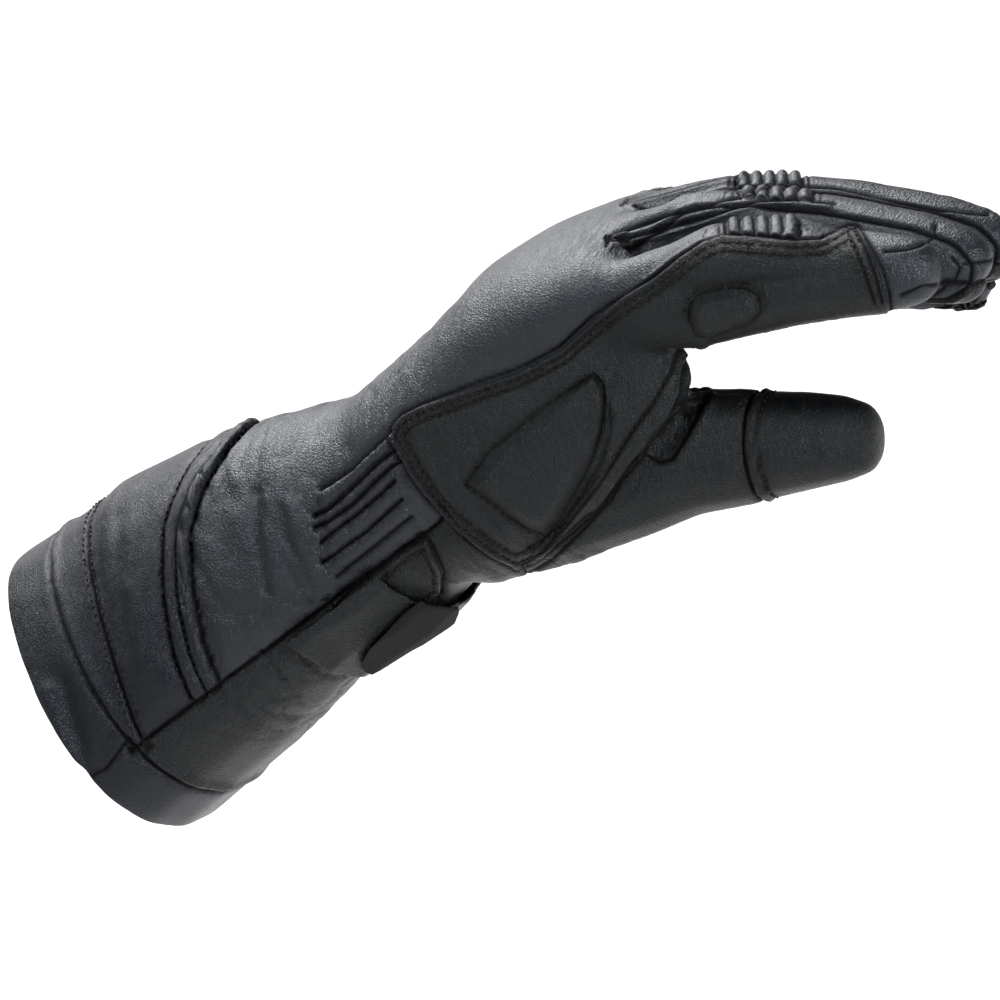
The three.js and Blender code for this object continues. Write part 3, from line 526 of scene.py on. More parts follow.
class Skin:
    """The glove's outer face, from the union of its shell's solids."""

    def __init__(self, voxel):
        self.mesh = mesh_of(outer_face(voxel), "skin")
        self.measure()
        self.smooth_form()
        self.work(self.cut_mouth)
        self.measure()
        self.fields = {name: nearest(self.co, name, 9.0) for name in SHELL}
        self.fields["seen"] = self.in_view()
        self.note()
        for reach, hidden in REFINED:
            self.near = self.detail() < reach - np.where(self.seen > 0.2, 0.0, hidden)
            self.work(self.refine)
            self.measure()
            self.recall()
        self.snap()

    def work(self, job):
        bm = opened(self.mesh)
        job(bm)
        bm.to_mesh(self.mesh)
        bm.free()

    def cut_mouth(self, bm):
        bmesh.ops.bisect_plane(
            bm, geom=bm.verts[:] + bm.edges[:] + bm.faces[:], dist=1e-7, plane_co=mouth_point(),
            plane_no=Vector(FORWARD), clear_inner=True)

    def refine(self, bm):
        """Halves the mesh near the seams and ribs."""
        ends = self.near[self.edges].all(1)
        edges = [e for e, chosen in zip(bm.edges, ends) if chosen]
        bmesh.ops.subdivide_edges(bm, edges=edges, cuts=1, use_grid_fill=True)

    def smooth_form(self):
        """Rounds off the solids' flat facets without shrinking the form."""
        slim = np.min([nearest(self.co, name, 4.0) for name in FINGERS_AND_THUMB], axis=0)
        weight = 0.12 + 0.5 * step(slim, 0.5, 4.0)
        form = spread(self.co, self.edges, weight, FORM_ROUNDS)
        for _ in range(2):
            form = form + spread(self.co - form, self.edges, weight, FORM_ROUNDS)
        self.move(form)
        self.move(self.co - self.normals * (SWELL - SEAM_COVER))
        # The index finger's back stands as high as its ribs
        ahead, aside, above = rib_place(self.co, "index")
        lift = (1 - step(np.abs(ahead + 2), 12, 26)) * (1 - step(np.abs(aside + 3), 6, 11)) * (above > -8)
        self.move(self.co + self.normals * (INDEX_LIFT * lift * step(self.normals[:, 2], 0.0, 0.4))[:, None])
        for x, y, reach in WEBS:
            depth = self.co @ BACK
            here = np.hypot(self.pixels[:, 0] - x, self.pixels[:, 1] - y) < 5
            middle = self.co[here][np.argmax(depth[here])] - BACK * 2.5
            fade = 1 - step(np.linalg.norm(self.co - middle, axis=1), reach * 0.45, reach)
            self.move(spread(self.co, self.edges, 0.65 * fade, 150))

    def move(self, co):
        self.mesh.vertices.foreach_set("co", (co / MM).ravel())
        self.mesh.update()
        self.measure()

    def measure(self):
        count = len(self.mesh.vertices)
        co, normals = np.empty(count * 3), np.empty(count * 3)
        edges = np.empty(len(self.mesh.edges) * 2, int)
        self.mesh.vertices.foreach_get("co", co)
        self.mesh.vertex_normals.foreach_get("vector", normals)
        self.mesh.edges.foreach_get("vertices", edges)
        self.co, self.normals, self.edges = co.reshape(-1, 3) * MM, normals.reshape(-1, 3), edges.reshape(-1, 2)
        self.pixels = in_picture(self.co)

    def note(self, **more):
        """Keeps what was measured on the points, so that points between them get the values between."""
        self.fields.update(more)
        for name, values in self.fields.items():
            layer = self.mesh.attributes.get(name) or self.mesh.attributes.new(name, "FLOAT", "POINT")
            layer.data.foreach_set("value", values)
        self.recall()

    def recall(self):
        """Reads the measures back."""
        for name in self.fields:
            values = np.empty(len(self.mesh.vertices))
            self.mesh.attributes[name].data.foreach_get("value", values)
            self.fields[name] = values
        self.seen = self.fields["seen"]

    def in_view(self):
        """1 where the picture shows the surface, and 0 where it is turned away or hidden."""
        facing = self.normals @ BACK
        bm = opened(self.mesh)
        tree = BVHTree.FromBMesh(bm)
        bm.free()
        ray = Vector(BACK)
        clear = np.zeros(len(self.co))
        for i in np.nonzero(facing > 0.02)[0]:
            start = Vector(self.co[i] / MM + self.normals[i] * 0.0005 + BACK * 0.0012)
            clear[i] = tree.ray_cast(start, ray)[0] is None
        return spread(clear[:, None], self.edges, np.full(len(clear), 0.5), 2)[:, 0] * step(facing, 0.02, 0.2)

    def across(self, first, second):
        """Millimetres past the seam from the first panels into the second ones, less than 0 before it."""
        a = np.min([self.fields[name] for name in first], axis=0)
        b = np.min([self.fields[name] for name in second], axis=0)
        return np.where(np.minimum(a, b) < 3.0, a - b, FAR)

    def snap(self):
        """Moves points onto the borders between panels, so that each border is a clean line."""
        self.names, self.owner, within = panel_of(self)
        a, b = self.edges.T
        first, last = np.minimum(self.owner[a], self.owner[b]), np.maximum(self.owner[a], self.owner[b])
        crossed = np.nonzero(first != last)[0]
        share = np.full(len(crossed), 0.5)
        for pair in set(zip(first[crossed], last[crossed])):
            these = np.nonzero((first[crossed] == pair[0]) & (last[crossed] == pair[1]))[0]
            level = within[self.names[pair[1]]] - within.get(self.names[pair[0]], 0) * (pair[1] < len(SHELL))
            at_a, at_b = level[a[crossed[these]]], level[b[crossed[these]]]
            span = np.where(at_a == at_b, 1, at_a - at_b)
            share[these] = np.where((at_a > 0) != (at_b > 0), at_a / span, 0.5)
        nearer = np.where(share < 0.5, a[crossed], b[crossed])
        other = np.where(share < 0.5, b[crossed], a[crossed])
        part = np.minimum(share, 1 - share)
        order = np.argsort(-part, kind="stable")
        nearer, other, part = nearer[order], other[order], part[order]
        self.on_border = np.zeros(len(self.co), bool)
        self.on_border[nearer] = True
        co = self.co.copy()
        co[nearer] += (self.co[other] - self.co[nearer]) * part[:, None]
        for name, values in self.fields.items():
            moved = values.copy()
            moved[nearer] += (values[other] - values[nearer]) * part
            self.fields[name] = moved
        self.move(co)
        self.note()

    def owner_of(self, face):
        """The panel of a face, from its corners that aren't on a border."""
        corners = [v.index for v in face.verts]
        owners = [self.owner[i] for i in corners if not self.on_border[i]] or [self.owner[i] for i in corners]
        return max(set(owners), key=owners.count)

    def detail(self):
        """Millimetres to the nearest seam, rib or edge of a layer."""
        gaps = [np.abs(self.across(*sides)) for sides in SEAMS.values()]
        gaps.append(np.maximum(0, gaps[2] - 3.2))
        hidden = np.where(self.seen > 0.3, 0, 50)
        for outline in PATCHES.values():
            gaps.append(np.abs(into_outline(self.pixels, outline)) + hidden)
        for line in RIB_GROOVES + [line for _, wide, line in GROOVES + RIDGES if wide < 1]:
            gaps.append(from_line(self.pixels, line) + hidden)
        for finger in FINGERS:
            along, aside, above = rib_place(self.co, finger)
            gaps.append(np.maximum(np.abs(along) - 10, np.abs(aside) - 7) + np.where(above > -4, 0.4, 50))
        return np.min(gaps, axis=0)


def mouth_point():
    """A point just inside the plane of the glove's mouth."""
    low = min(v.co.dot(Vector(FORWARD)) for v in frame["nodes"]["hem_band"].data.vertices)
    return Vector(FORWARD) * (low + 0.00005)


def merged(node):
    """A copy of a node's mesh with its loose triangles joined."""
    bm = opened(frame["nodes"][node].data)
    bmesh.ops.remove_doubles(bm, verts=bm.verts, dist=1e-6)
    bm.normal_update()
    return bm


def gather(parts):
    """One mesh of several, which are then let go."""
    mesh = bpy.data.meshes.new("gathered")
    whole = bmesh.new()
    for part in parts:
        part.to_mesh(mesh)
        whole.from_mesh(mesh)
        part.free()
    bpy.data.meshes.remove(mesh)
    return whole


def remeshed(bm, voxel):
    """The union of closed meshes, in even faces."""
    mesh = mesh_of(bm, "blank")
    blank = linked("blank", mesh)
    modifier = blank.modifiers.new("Remesh", "REMESH")
    modifier.mode = "VOXEL"
    modifier.voxel_size = voxel
    graph = bpy.context.evaluated_depsgraph_get()
    made = bmesh.new()
    made.from_mesh(blank.evaluated_get(graph).to_mesh())
    bpy.data.objects.remove(blank)
    bpy.data.meshes.remove(mesh)
    return made


def keep_outermost(bm):
    """Leaves the connected face that reaches furthest forward."""
    seen = set()
    ahead = [max(bm.verts, key=lambda v: v.co.x)]
    while ahead:
        v = ahead.pop()
        if v not in seen:
            seen.add(v)
            ahead += [e.other_vert(v) for e in v.link_edges]
    bmesh.ops.delete(bm, geom=[v for v in bm.verts if v not in seen], context="VERTS")


def outer_face(voxel):
    """The shell's solids, swollen to close the gaps between them, as one closed outer face."""
    parts = []
    for name in SHELL:
        part = merged(name)
        for v in part.verts:
            v.co += v.normal * SWELL / MM
        parts.append(part)
    plug = bmesh.new()
    behind = Vector(FORWARD) * -0.02
    low = mouth_point().dot(Vector(FORWARD))
    for v in frame["nodes"]["hem_band"].data.vertices:
        if v.co.dot(Vector(FORWARD)) < low + 0.0002:
            plug.verts.new(v.co)
            plug.verts.new(v.co + behind)
    bmesh.ops.remove_doubles(plug, verts=plug.verts, dist=1e-6)
    hull = bmesh.ops.convex_hull(plug, input=plug.verts)
    spare = [g for g in hull["geom_interior"] + hull["geom_unused"] if isinstance(g, bmesh.types.BMVert)]
    bmesh.ops.delete(plug, geom=list(set(spare)), context="VERTS")
    parts.append(plug)
    bm = remeshed(gather(parts), voxel)
    bm.normal_update()
    tree = BVHTree.FromBMesh(bm)
    bmesh.ops.delete(bm, geom=[v for v in bm.verts if enclosed(tree, v)], context="VERTS")
    keep_outermost(bm)
    rim = [e for e in bm.edges if e.is_boundary]
    filled = bmesh.ops.holes_fill(bm, edges=rim, sides=0)["faces"]
    bmesh.ops.triangulate(bm, faces=filled)
    bm.normal_update()
    return bm


def enclosed(tree, v):
    """Whether a point lies on the wall of the glove's hollow: no way out from it is free."""
    start = v.co + v.normal * 0.0004
    for way in WAYS_OUT:
        if way.dot(v.normal) > -0.1 and tree.ray_cast(start, way)[0] is None:
            return False
    return True


def box_of(name):
    """The lowest and highest corner of a node."""
    return (np.array(corner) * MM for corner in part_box(name))


def nearest(co, name, reach):
    """Millimetres from points to a node, up to reach."""
    found = np.full(len(co), reach)
    tree = BVHTree.FromBMesh(merged(name))
    low, high = box_of(name)
    for i in np.nonzero(((co > low - reach) & (co < high + reach)).all(1))[0]:
        distance = tree.find_nearest(co[i] / MM, reach / MM)[3]
        if distance is not None:
            found[i] = distance * MM
    return found


def spread(values, edges, weight, rounds):
    """Lets values even out along the mesh's edges."""
    count = len(values)
    share = np.bincount(edges.ravel(), minlength=count).clip(1)
    a, b = edges.T
    values = values.copy()
    for _ in range(rounds):
        for k in range(values.shape[1]):
            total = np.bincount(a, values[b, k], count) + np.bincount(b, values[a, k], count)
            values[:, k] += weight * (total / share - values[:, k])
    return values


def rib_place(co, finger):
    """Places of points from the middle of a finger's ribs: along the finger, across it, and above their foot."""
    climb, yaw = (math.radians(angle) for angle in KNUCKLE_RIBS[finger])
    ahead = np.array([math.cos(climb) * math.cos(yaw), math.cos(climb) * math.sin(yaw), math.sin(climb)])
    side = np.array([-math.sin(yaw), math.cos(yaw), 0.0])
    low, high = box_of(finger + "_ribs")
    offset = co - (low + high) / 2
    return offset @ ahead, offset @ side, offset @ np.cross(ahead, side)


def rib_rows(skin, finger):
    """How many ribs each point is from the middle one, and 1 where the ribs are, round the finger's back."""
    along, aside, above = rib_place(skin.co, finger)
    if finger in RIB_PIXELS:
        middle, pitch = RIB_PIXELS[finger]
        rows = (skin.pixels[:, 0] - middle) / pitch
    else:
        rows = along / RIB_PITCH
    near = RIB_STARTS.get(finger, -8.5)
    on = step(aside, near, near + 1) * (1 - step(aside, 6.5, 8.0))
    on *= (above > (-9 if finger == "index" else -6)) * (skin.normals[:, 2] > 0.05) * (np.abs(along) < 16)
    if finger == "index":
        on *= 1 - step(into_outline(skin.pixels, OVERLAY), -1.0, 0.0) * skin.seen
    return rows, on


def creased(places, along, across):
    """Sharp valleys at random, with their wavelengths along and across the arm, from -1 in a valley to 0."""
    values = np.array([noise.noise(Vector((s / along, y / across, n / across))) for s, y, n in places])
    return -np.clip(1 - np.abs(values) * 5, 0, 1) ** 2


def relief(skin, sizes):
    """Height of every point of the skin over the plain form, and how much painted shade it gets in seams, grooves and
    folds.
    """
    co, seen, pixels = skin.co, skin.seen, skin.pixels
    along = co @ FORWARD
    arm = np.stack([along, co[:, 1], co @ DORSAL], 1)
    height = np.zeros(len(co))
    seam, dug = np.zeros(len(co)), np.zeros(len(co))
    gap = {name: skin.across(*sides) for name, sides in SEAMS.items()}

    def groove(distance, depth, width, where=1.0, dark=1.0):
        nonlocal dug, seam
        dug = np.maximum(dug, depth * bell(distance, width) * where)
        # Painted shade along the middle of the groove, for the leather's shader
        seam = np.maximum(seam, dark * bell(distance, min(width, 0.5)) * where)

    # Soft form: padded cuff panel, folds and creases across the arm
    lee = np.minimum.reduce([np.abs(gap["border"]), np.abs(gap["piping"]), np.abs(gap["side"])])
    on_panel = (skin.fields["cuff_back_panel"] < 1.5) * 1.0
    height += on_panel * 1.6 * step(lee, 0, 11)
    folds = np.array([noise.noise(Vector((s * 0.11, y * 0.022, n * 0.03))) for s, y, n in arm])
    smooth_cuff = np.maximum(on_panel, skin.fields["hem_band"] < 1.5)
    wrist = step(along, -72, -55) * (1 - step(along, 35, 80)) * (1 - smooth_cuff)
    height += folds * (0.5 + 0.5 * bell(along + 28, 25)) * (0.25 + 0.75 * wrist)
    height += creased(arm, 9, 30) * (0.35 + 0.5 * bell(along + 30, 25)) * wrist
    height += creased(arm + 40, 5.5, 17) * 0.35 * wrist

    # Seams of the shell
    groove(gap["hem"] + 0.3, 1.3, 0.7)
    height += 0.8 * bell(gap["hem"] - 1.6, 1.2)
    groove(gap["border"], 0.7, 0.6)
    height += 0.3 * bell(np.abs(gap["border"]) - 1.3, 0.7)
    on_back = 1 - step(gap["side"], -1.5, 0.5)
    for middle, tall in ((-2.0, 1.2), (2.2, 1.7)):
        height += on_back * tall * np.maximum(0, 1 - ((gap["piping"] - middle) / 2.0) ** 2) ** 0.5
    groove(gap["piping"] - PIPING_LOW, 0.6, 0.5, on_back)
    groove(gap["piping"] - PIPING_HIGH, 0.9, 0.6, on_back)
    side = np.abs(gap["side"])
    inside = into_outline(pixels, OVERLAY)
    bare = 1 - step(inside, -0.5, 0.5) * seen
    groove(side, 1.1, 0.7, bare)
    height -= 0.7 * bell(side, 3.5) * bare
    groove(gap["cross"], 0.5, 0.7)
    groove(gap["fourchette"], 0.8, 0.6)
    height += 0.6 * bell(gap["fourchette"] - 1.3, 0.8)
    groove(gap["thumb_edge"], 0.7, 0.7)
    groove(gap["thumb_tip"], 0.9, 0.6)
    height += 0.7 * bell(gap["thumb_tip"] - 1.8, 0.9)
    groove(gap["thumb_tip"] - THUMB_ROW, 0.3, 0.5)
    groove(gap["thumb_root"], 0.5, 0.7)
    groove(gap["index_tip"], 0.6, 0.6, 1 - seen)

    # Overlay and its pads
    sewn_edge = from_line(pixels, OVERLAY_EDGE) < EDGE_REACH
    height += sizes.overlay * MM * step(inside, -0.3, 0.5) * seen
    groove(inside + 0.6, 0.6, 0.5, seen)
    for row in DOUBLE_ROW:
        groove(inside - row, 0.28, 0.45, seen * (inside > -3) * sewn_edge)
    shield = into_outline(pixels, SHIELD)
    sharp = step(pixels[:, 0] - 0.35 * (pixels[:, 1] - 375), 545, 590)
    pad = sharp * step(shield, 0, 0.9) + (1 - sharp) * step(shield, 0, 4.5)
    height += seen * (shield > 0) * sizes.pad * MM * (0.75 * pad + 0.25 * np.clip(shield / 9, 0, 1))
    height += seen * (shield > 0) * sharp * 0.5 * bell(shield - 1.1, 0.8)
    groove(shield, 0.35, 0.6, seen, 0.35)
    oval = into_outline(pixels, OVAL)
    height += seen * (oval > 0) * sizes.pad * MM * 0.7 * step(oval, 0, 2.5)
    groove(oval, 0.35, 0.5, seen, 0.3)

    # Gusset of the thumb, strap's patch, flex ribs on the wrist
    gusset = into_outline(pixels, GUSSET)
    height -= seen * 1.1 * step(gusset, -0.3, 2.5)
    groove(gusset, 0.5, 0.6, seen)
    height += seen * 0.8 * bell(gusset + 1.6, 0.9)
    patch = into_outline(pixels, STRAP_PATCH)
    height += seen * 1.1 * step(patch, -0.2, 0.6)
    groove(patch + 0.5, 0.5, 0.5, seen)
    groove(patch - PATCH_ROW, 0.25, 0.45, seen)
    for i, line in enumerate(RIB_GROOVES):
        groove(from_line(pixels, line), 2.0 - 0.15 * i, 0.9, seen)
    bars = into_outline(pixels, RIB_GROOVES[0] + RIB_GROOVES[5][::-1])
    height += seen * 1.2 * step(bars, -1.5, 1.5)

    # Fine grooves get all of a seam's painted shade, folds a share of it
    for depth, width, line in GROOVES:
        groove(from_line(pixels, line), depth, width, seen, 1.0 if width < FINE else FOLD_SHADE)
    for tall, width, line in RIDGES:
        height += tall * bell(from_line(pixels, line), width) * seen

    # Flex ribs on the fingers
    for finger in FINGERS:
        t, on = rib_rows(skin, finger)
        bars = np.zeros(len(co))
        for i in range(5):
            bars = np.maximum(bars, np.maximum(0, 1 - ((t - (i - 2)) * 2.1) ** 2) ** 0.5)
        height += sizes.rib * MM * (bars - 0.3) * on * (np.abs(t) < 2.6)
        groove((np.abs(t) - RIBS_REACH) * RIB_PITCH, 0.6, 0.5, on)
        groove((np.abs(t) - 3.1) * RIB_PITCH, 0.4, 0.4, on)
    return height - dug, seam


# What the stitches need of the skin: its tree for rays, and the paths that were measured on it
skin_parts = {}


def panel_of(skin):
    """The panels' names, the number of the panel at each point, and how far each point is within each panel."""
    names = list(SHELL)
    within = {name: -skin.fields[name] for name in names}
    owner = np.argmax(np.stack([within[name] for name in names]), axis=0)
    gap, back = skin.across(*SEAMS["piping"]), -skin.across(*SEAMS["side"])
    shown = np.where(skin.seen > 0.4, FAR, -1)
    claims = {
        "cuff_piping_lower": np.minimum.reduce([gap - PIPING_LOW, -gap, back]),
        "cuff_piping_upper": np.minimum.reduce([gap, PIPING_HIGH - gap, back]),
    }
    for name, outline in PATCHES.items():
        claims[name] = np.minimum(into_outline(skin.pixels, outline), shown)
    for i in range(5):
        strip = RIB_GROOVES[i] + RIB_GROOVES[i + 1][::-1]
        claims[f"wrist_rib_{i + 1}"] = np.minimum(into_outline(skin.pixels, strip), shown)
    for finger in FINGERS:
        rows, on = rib_rows(skin, finger)
        claims[finger + "_ribs"] = np.minimum((RIBS_REACH - np.abs(rows)) * RIB_PITCH, (on - 0.5) * 2)
    for name, values in claims.items():
        names.append(name)
        owner[values > 0] = len(names) - 1
        within[name] = values
    return names, owner, within


def slot_of(node):
    """The material slot that the record gives a node."""
    for row in frame["record"]["subparts"]:
        if row["node"] == node:
            return row["material_slot"]
    raise ValueError("no material slot for " + node)


def show(name, mesh, slot, nodes, wall=None):
    """Links a finished mesh as a piece that rides on the glove."""
    piece = linked(name, mesh)
    mesh.materials.append(finish_of(slot))
    for polygon in mesh.polygons:
        polygon.use_smooth = True
    if wall:
        mesh.materials.append(finish_of("lining"))
        modifier = piece.modifiers.new("Wall", "SOLIDIFY")
        modifier.thickness = wall
        modifier.offset = -1
        modifier.material_offset = 1
    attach(piece, "root")
    if nodes:
        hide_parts(*nodes)
    return piece


class GAUNTLET_OT_leather(bpy.types.Operator):
    """Make the leather panels with their seams, ribs and pads, and trace the rows for the stitches"""

    bl_idname = "gauntlet.leather"
    bl_label = "Leather panels"

    def execute(self, context):
        sizes = context.scene.gauntlet_sizes
        skin = Skin(sizes.voxel)
        height, seam = relief(skin, sizes)
        # Keeps the painted shade of seams and grooves on the points, for the leather's shader
        skin.note(seam=seam)
        rows = sewn_rows(skin)
        co = skin.co + skin.normals * height[:, None]
        skin.move(spread(co, skin.edges, np.full(len(co), 0.25), 1))
        bm = opened(skin.mesh)
        bm.verts.ensure_lookup_table()
        bm.edges.ensure_lookup_table()
        # The painted shade of seams and grooves, copied onto each piece
        layer = bm.verts.layers.float["seam"]
        skin_parts["tree"] = BVHTree.FromBMesh(bm)
        skin_parts["paths"] = [path for row in rows for path in contour(bm, skin, *row)]
        groups = {}
        for face in bm.faces:
            groups.setdefault(skin.owner_of(face), []).append(face)
        for number, faces in sorted(groups.items()):
            name = skin.names[number]
            mesh = patch_of(faces, layer)
            piece = show(name + "_leather", mesh, slot_of(name), [name], sizes.wall)
        bm.free()
        bpy.data.meshes.remove(skin.mesh)
        return {"FINISHED"}


def sewn_rows(skin):
    """Rows of stitches that follow a seam: what is measured from it, how far along that the row runs, and where."""
    gap = {name: skin.across(*SEAMS[name]) for name in ("border", "piping", "thumb_tip")}
    everywhere = np.ones(len(skin.co), bool)
    shown = skin.seen > 0.3
    overlay = into_outline(skin.pixels, OVERLAY)
    sewn_edge = shown & (from_line(skin.pixels, OVERLAY_EDGE) < EDGE_REACH)
    shield = into_outline(skin.pixels, SHIELD)
    upper = shown & (skin.pixels[:, 0] + 0.9 * (skin.pixels[:, 1] - 375) < 597)
    foot = shown & (skin.pixels[:, 1] > 478) & (skin.pixels[:, 0] < 545)
    oval = into_outline(skin.pixels, OVAL)
    above_oval = shown & (skin.pixels[:, 1] < 316)
    patch = into_outline(skin.pixels, STRAP_PATCH)
    front = shown & (skin.pixels[:, 0] > 352)
    return [
        (gap["border"], 1.3, everywhere), (gap["border"], -1.3, everywhere), (gap["piping"], -5.0, everywhere),
        (gap["piping"], 0.0, everywhere), (gap["thumb_tip"], THUMB_ROW, everywhere),
        *((overlay, row, sewn_edge) for row in DOUBLE_ROW),
        (shield, -0.9, upper | foot), (oval, -1.4, above_oval), (patch, PATCH_ROW, front),
    ]


def contour(bm, skin, values, level, where):
    """Lines on the skin along which what was measured has one value."""
    a, b = skin.edges.T
    above = values > level
    crossed = np.nonzero((above[a] != above[b]) & where[a] & where[b] & (np.abs(values[a]) < 40)
                         & (np.abs(values[b]) < 40) & (np.abs(values[a] - values[b]) < 6))[0]
    points, meets = {}, {}
    for i in crossed:
        first, second = bm.verts[a[i]], bm.verts[b[i]]
        t = (level - values[a[i]]) / (values[b[i]] - values[a[i]])
        points[i] = (first.co.lerp(second.co, t), first.normal.lerp(second.normal, t))
        for face in bm.edges[i].link_faces:
            meets.setdefault(face.index, []).append(i)
    beside = {i: [] for i in points}
    for pair in meets.values():
        if len(pair) == 2:
            beside[pair[0]].append(pair[1])
            beside[pair[1]].append(pair[0])
    paths, walked = [], set()
    for start in sorted(points, key=lambda i: (len(beside[i]), i)):
        path, i = [], start
        while i is not None and i not in walked:
            walked.add(i)
            path.append(points[i])
            i = next((j for j in beside[i] if j not in walked), None)
        if len(path) > 4:
            paths.append(path)
    return paths


def patch_of(faces, layer):
    """A mesh of some faces of the skin, with the painted shade of seams and grooves at each point."""
    bm = bmesh.new()
    seam = bm.verts.layers.float.new("seam")
    made = {}
    for face in faces:
        corners = []
        for v in face.verts:
            if v not in made:
                made[v] = bm.verts.new(v.co)
                made[v][seam] = v[layer]
            corners.append(made[v])
        bm.faces.new(corners)
    return mesh_of(bm, "patch")


def cut_to_outline(piece, outline):
    """Cuts a closed piece to an outline of the picture, seen along the picture's view."""
    bm = bmesh.new()
    rim = []
    for u, v in outline:
        rim.append(bm.verts.new(Vector(picture_place(u, v) - BACK * 0.2)))
    face = bm.faces.new(rim)
    grown = bmesh.ops.extrude_face_region(bm, geom=[face])["geom"]
    bmesh.ops.translate(
        bm, verts=[g for g in grown if isinstance(g, bmesh.types.BMVert)], vec=Vector(BACK * 0.4))
    bmesh.ops.recalc_face_normals(bm, faces=bm.faces)
    mesh = mesh_of(bm, "cutter")
    cutter = bpy.data.objects.new("cutter", mesh)
    modifier = piece.modifiers.new("Outline", "BOOLEAN")
    modifier.operation = "INTERSECT"
    modifier.solver = "EXACT"
    modifier.object = cutter
    graph = bpy.context.evaluated_depsgraph_get()
    cut = bpy.data.meshes.new_from_object(piece.evaluated_get(graph))
    piece.modifiers.clear()
    piece.data = cut
    bpy.data.objects.remove(cutter)
    bpy.data.meshes.remove(mesh)


# Spacing of the strap's mesh, breadth and height of a stitch, and how proud it stands, in metres
STRAP_VOXEL, STITCH_BREADTH, STITCH_HEIGHT, STITCH_PROUD = 0.0008, 0.00065, 0.0007, 0.0001


class GAUNTLET_OT_strap(bpy.types.Operator):
    """Make the wrist strap and its hook-and-loop tab"""

    bl_idname = "gauntlet.strap"
    bl_label = "Strap and tab"

    def execute(self, context):
        for node in ("wrist_strap", "hook_tab"):
            bm = remeshed(merged(node), STRAP_VOXEL)
            bm.verts.index_update()
            co = np.array([v.co for v in bm.verts])
            edges = np.array([[e.verts[0].index, e.verts[1].index] for e in bm.edges])
            for v, place in zip(bm.verts, spread(co, edges, np.full(len(co), 0.5), 3)):
                v.co = place
            piece = show(node + "_sewn", mesh_of(bm, node), slot_of(node), [node])
            if node == "hook_tab":
                cut_to_outline(piece, HOOK_TAB)
        return {"FINISHED"}


def picture_path(line):
    """Points and normals of the skin along a line of the picture."""
    path = []
    for a, b in zip(np.array(line[:-1], float), np.array(line[1:], float)):
        for t in np.linspace(0, 1, max(2, int(np.linalg.norm(b - a))), endpoint=False):
            u, v = a + (b - a) * t
            start = picture_place(u, v) + BACK * 0.5
            hit, normal, _, _ = skin_parts["tree"].ray_cast(Vector(start), Vector(-BACK))
            if hit is not None:
                path.append((hit, normal))
    return path


def stitch_path(bm, path, sizes):
    """Sews a row of stitches along a path on the skin."""
    travelled, last = 0.0, path[0][0]
    for place, normal in path[1:]:
        stride = (place - last).length
        if stride > 0.004:
            travelled = 0.0
        elif stride > 0:
            travelled += stride
            if travelled >= sizes.pitch:
                travelled -= sizes.pitch
                sew(bm, place, (place - last).normalized(), normal, sizes.stitch)
        last = place


def sew(bm, place, along, normal, length):
    """One stitch: a short round thread that dips in at both ends."""
    side = normal.cross(along).normalized()
    made = bmesh.ops.create_icosphere(bm, subdivisions=1, radius=0.5)["verts"]
    for v in made:
        x, y, z = v.co
        v.co = place + along * (x * length) + side * (y * STITCH_BREADTH) + normal * (
            z * STITCH_HEIGHT + STITCH_PROUD)


class GAUNTLET_OT_stitches(bpy.types.Operator):
    """Sew the rows of stitches"""

    bl_idname = "gauntlet.stitches"
    bl_label = "Stitches"

    def execute(self, context):
        sizes = context.scene.gauntlet_sizes
        bm = bmesh.new()
        for path in skin_parts["paths"] + [picture_path(line) for line in SEWN]:
            stitch_path(bm, path, sizes)
        show("stitches", mesh_of(bm, "stitches"), "thread", [])
        return {"FINISHED"}


# Lights: place from the point that they shine on, size and power
LIT_POINT = Vector((0.03, 0, 0.0))
LIGHTS = [
    ("overhead", (-0.8, 0.7, 1.0), 1.3, 56),
    ("front", (-0.6, -0.8, 1.2), 0.4, 27),
    ("fill", (-1.0, -1.6, 0.75), 0.5, 4),
    ("side", (1.25, -0.5, 0.45), 0.25, 30),
]

# Floor's height and half width, and how brightly the floor and the surroundings shine by themselves
FLOOR_HEIGHT, FLOOR_SIZE, FLOOR_GLOW, SURROUNDINGS = -0.45, 14, 0.985, 0.07

# Camera's distance, and its sensor, which the picture's 1000 pixels fill
DISTANCE, SENSOR, PICTURE_MIDDLE = 6.0, 36, 500


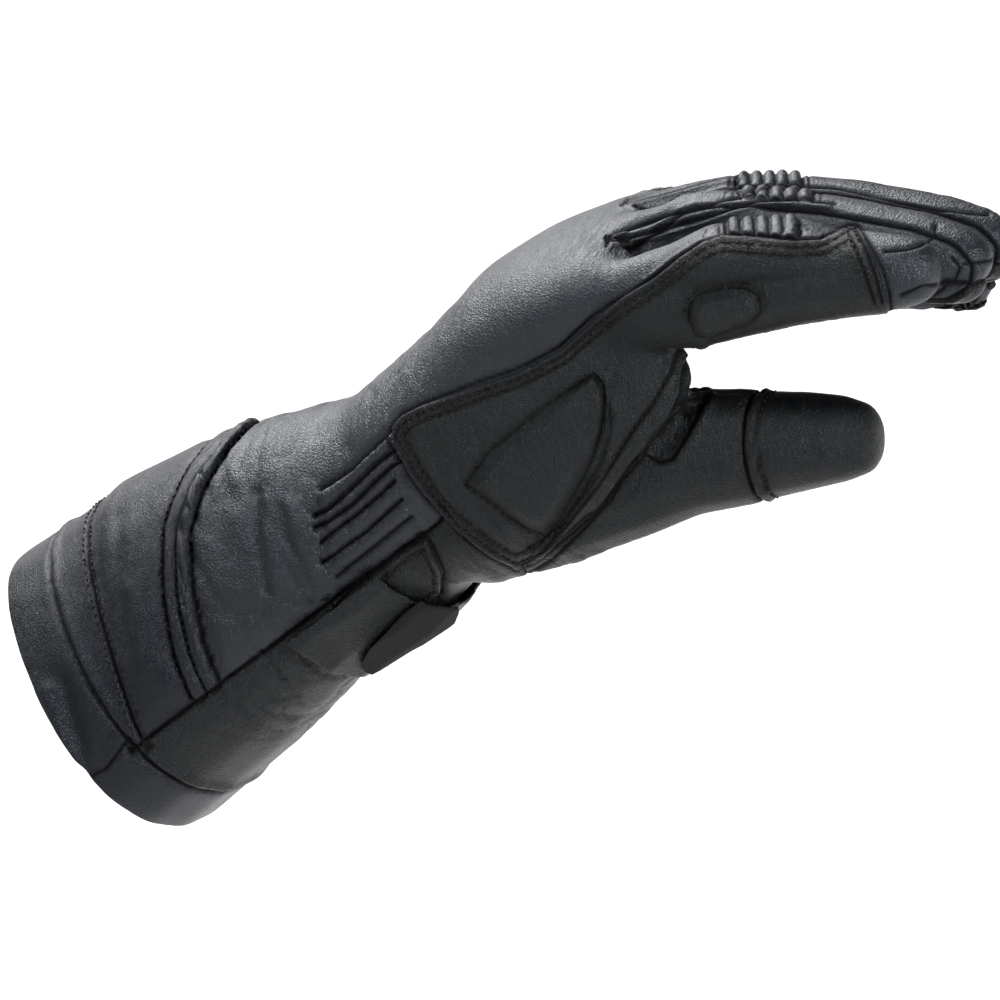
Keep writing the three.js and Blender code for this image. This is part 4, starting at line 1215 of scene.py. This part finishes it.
class GAUNTLET_OT_stage(bpy.types.Operator):
    """Set the floor, the lights and the camera"""

    bl_idname = "gauntlet.stage"
    bl_label = "Stage"

    def execute(self, context):
        scene = context.scene
        bm = bmesh.new()
        bmesh.ops.create_grid(bm, x_segments=1, y_segments=1, size=FLOOR_SIZE)
        bmesh.ops.translate(bm, verts=bm.verts, vec=(0, 0, FLOOR_HEIGHT))
        floor = linked("floor", mesh_of(bm, "floor"))
        finish = Finish("floor")
        finish.set(
            base_color=shade(scene.gauntlet_colours.floor, 1), roughness=0.9, emission_color=(1, 1, 1, 1),
            emission_strength=FLOOR_GLOW)
        floor.data.materials.append(finish.material)

        world = bpy.data.worlds.new("studio")
        world.use_nodes = True
        background = world.node_tree.nodes["Background"]
        background.inputs["Color"].default_value = (1, 1, 1, 1)
        background.inputs["Strength"].default_value = SURROUNDINGS
        scene.world = world
        scene.view_settings.view_transform = "Standard"
        for name, place, size, power in LIGHTS:
            light = bpy.data.lights.new(name, "AREA")
            light.shape = "DISK"
            light.size = size
            light.energy = power
            lamp = linked(name, light)
            lamp.location = LIT_POINT + Vector(place)
            lamp.rotation_euler = (LIT_POINT - lamp.location).to_track_quat("-Z", "Y").to_euler()

        camera = bpy.data.cameras.new("camera")
        camera.sensor_width = SENSOR
        camera.lens = DISTANCE * SENSOR / PIXEL
        camera.clip_start, camera.clip_end = 0.1, 40
        holder = linked("camera", camera)
        holder.location = Vector(picture_place(PICTURE_MIDDLE, PICTURE_MIDDLE) + BACK * DISTANCE)
        holder.rotation_mode = "QUATERNION"
        holder.rotation_quaternion = Vector(-BACK).to_track_quat("-Z", "Y")
        scene.camera = holder
        return {"FINISHED"}


class GAUNTLET_PT_panel(bpy.types.Panel):
    """Sizes, colours and pieces of the gauntlet"""

    bl_idname = "GAUNTLET_PT_panel"
    bl_label = "Gauntlet"
    bl_space_type = "VIEW_3D"
    bl_region_type = "UI"
    bl_category = "Gauntlet"

    def draw(self, context):
        for group in (context.scene.gauntlet_sizes, context.scene.gauntlet_colours):
            column = self.layout.column()
            for name in group.bl_rna.properties.keys():
                if name not in ("rna_type", "name"):
                    column.prop(group, name)
        for operator in OPERATORS:
            self.layout.operator(operator.bl_idname)


OPERATORS = (GAUNTLET_OT_leather, GAUNTLET_OT_strap, GAUNTLET_OT_stitches, GAUNTLET_OT_stage)
CLASSES = (GauntletSizes, GauntletColours, *OPERATORS, GAUNTLET_PT_panel)


def register():
    for made in CLASSES:
        bpy.utils.register_class(made)
    bpy.types.Scene.gauntlet_sizes = bpy.props.PointerProperty(type=GauntletSizes)
    bpy.types.Scene.gauntlet_colours = bpy.props.PointerProperty(type=GauntletColours)


def unregister():
    del bpy.types.Scene.gauntlet_sizes
    del bpy.types.Scene.gauntlet_colours
    for made in reversed(CLASSES):
        bpy.utils.unregister_class(made)


def main():
    register()
    bpy.ops.gauntlet.leather()
    bpy.ops.gauntlet.strap()
    bpy.ops.gauntlet.stitches()
    bpy.ops.gauntlet.stage()


if __name__ == "__main__":
    main()
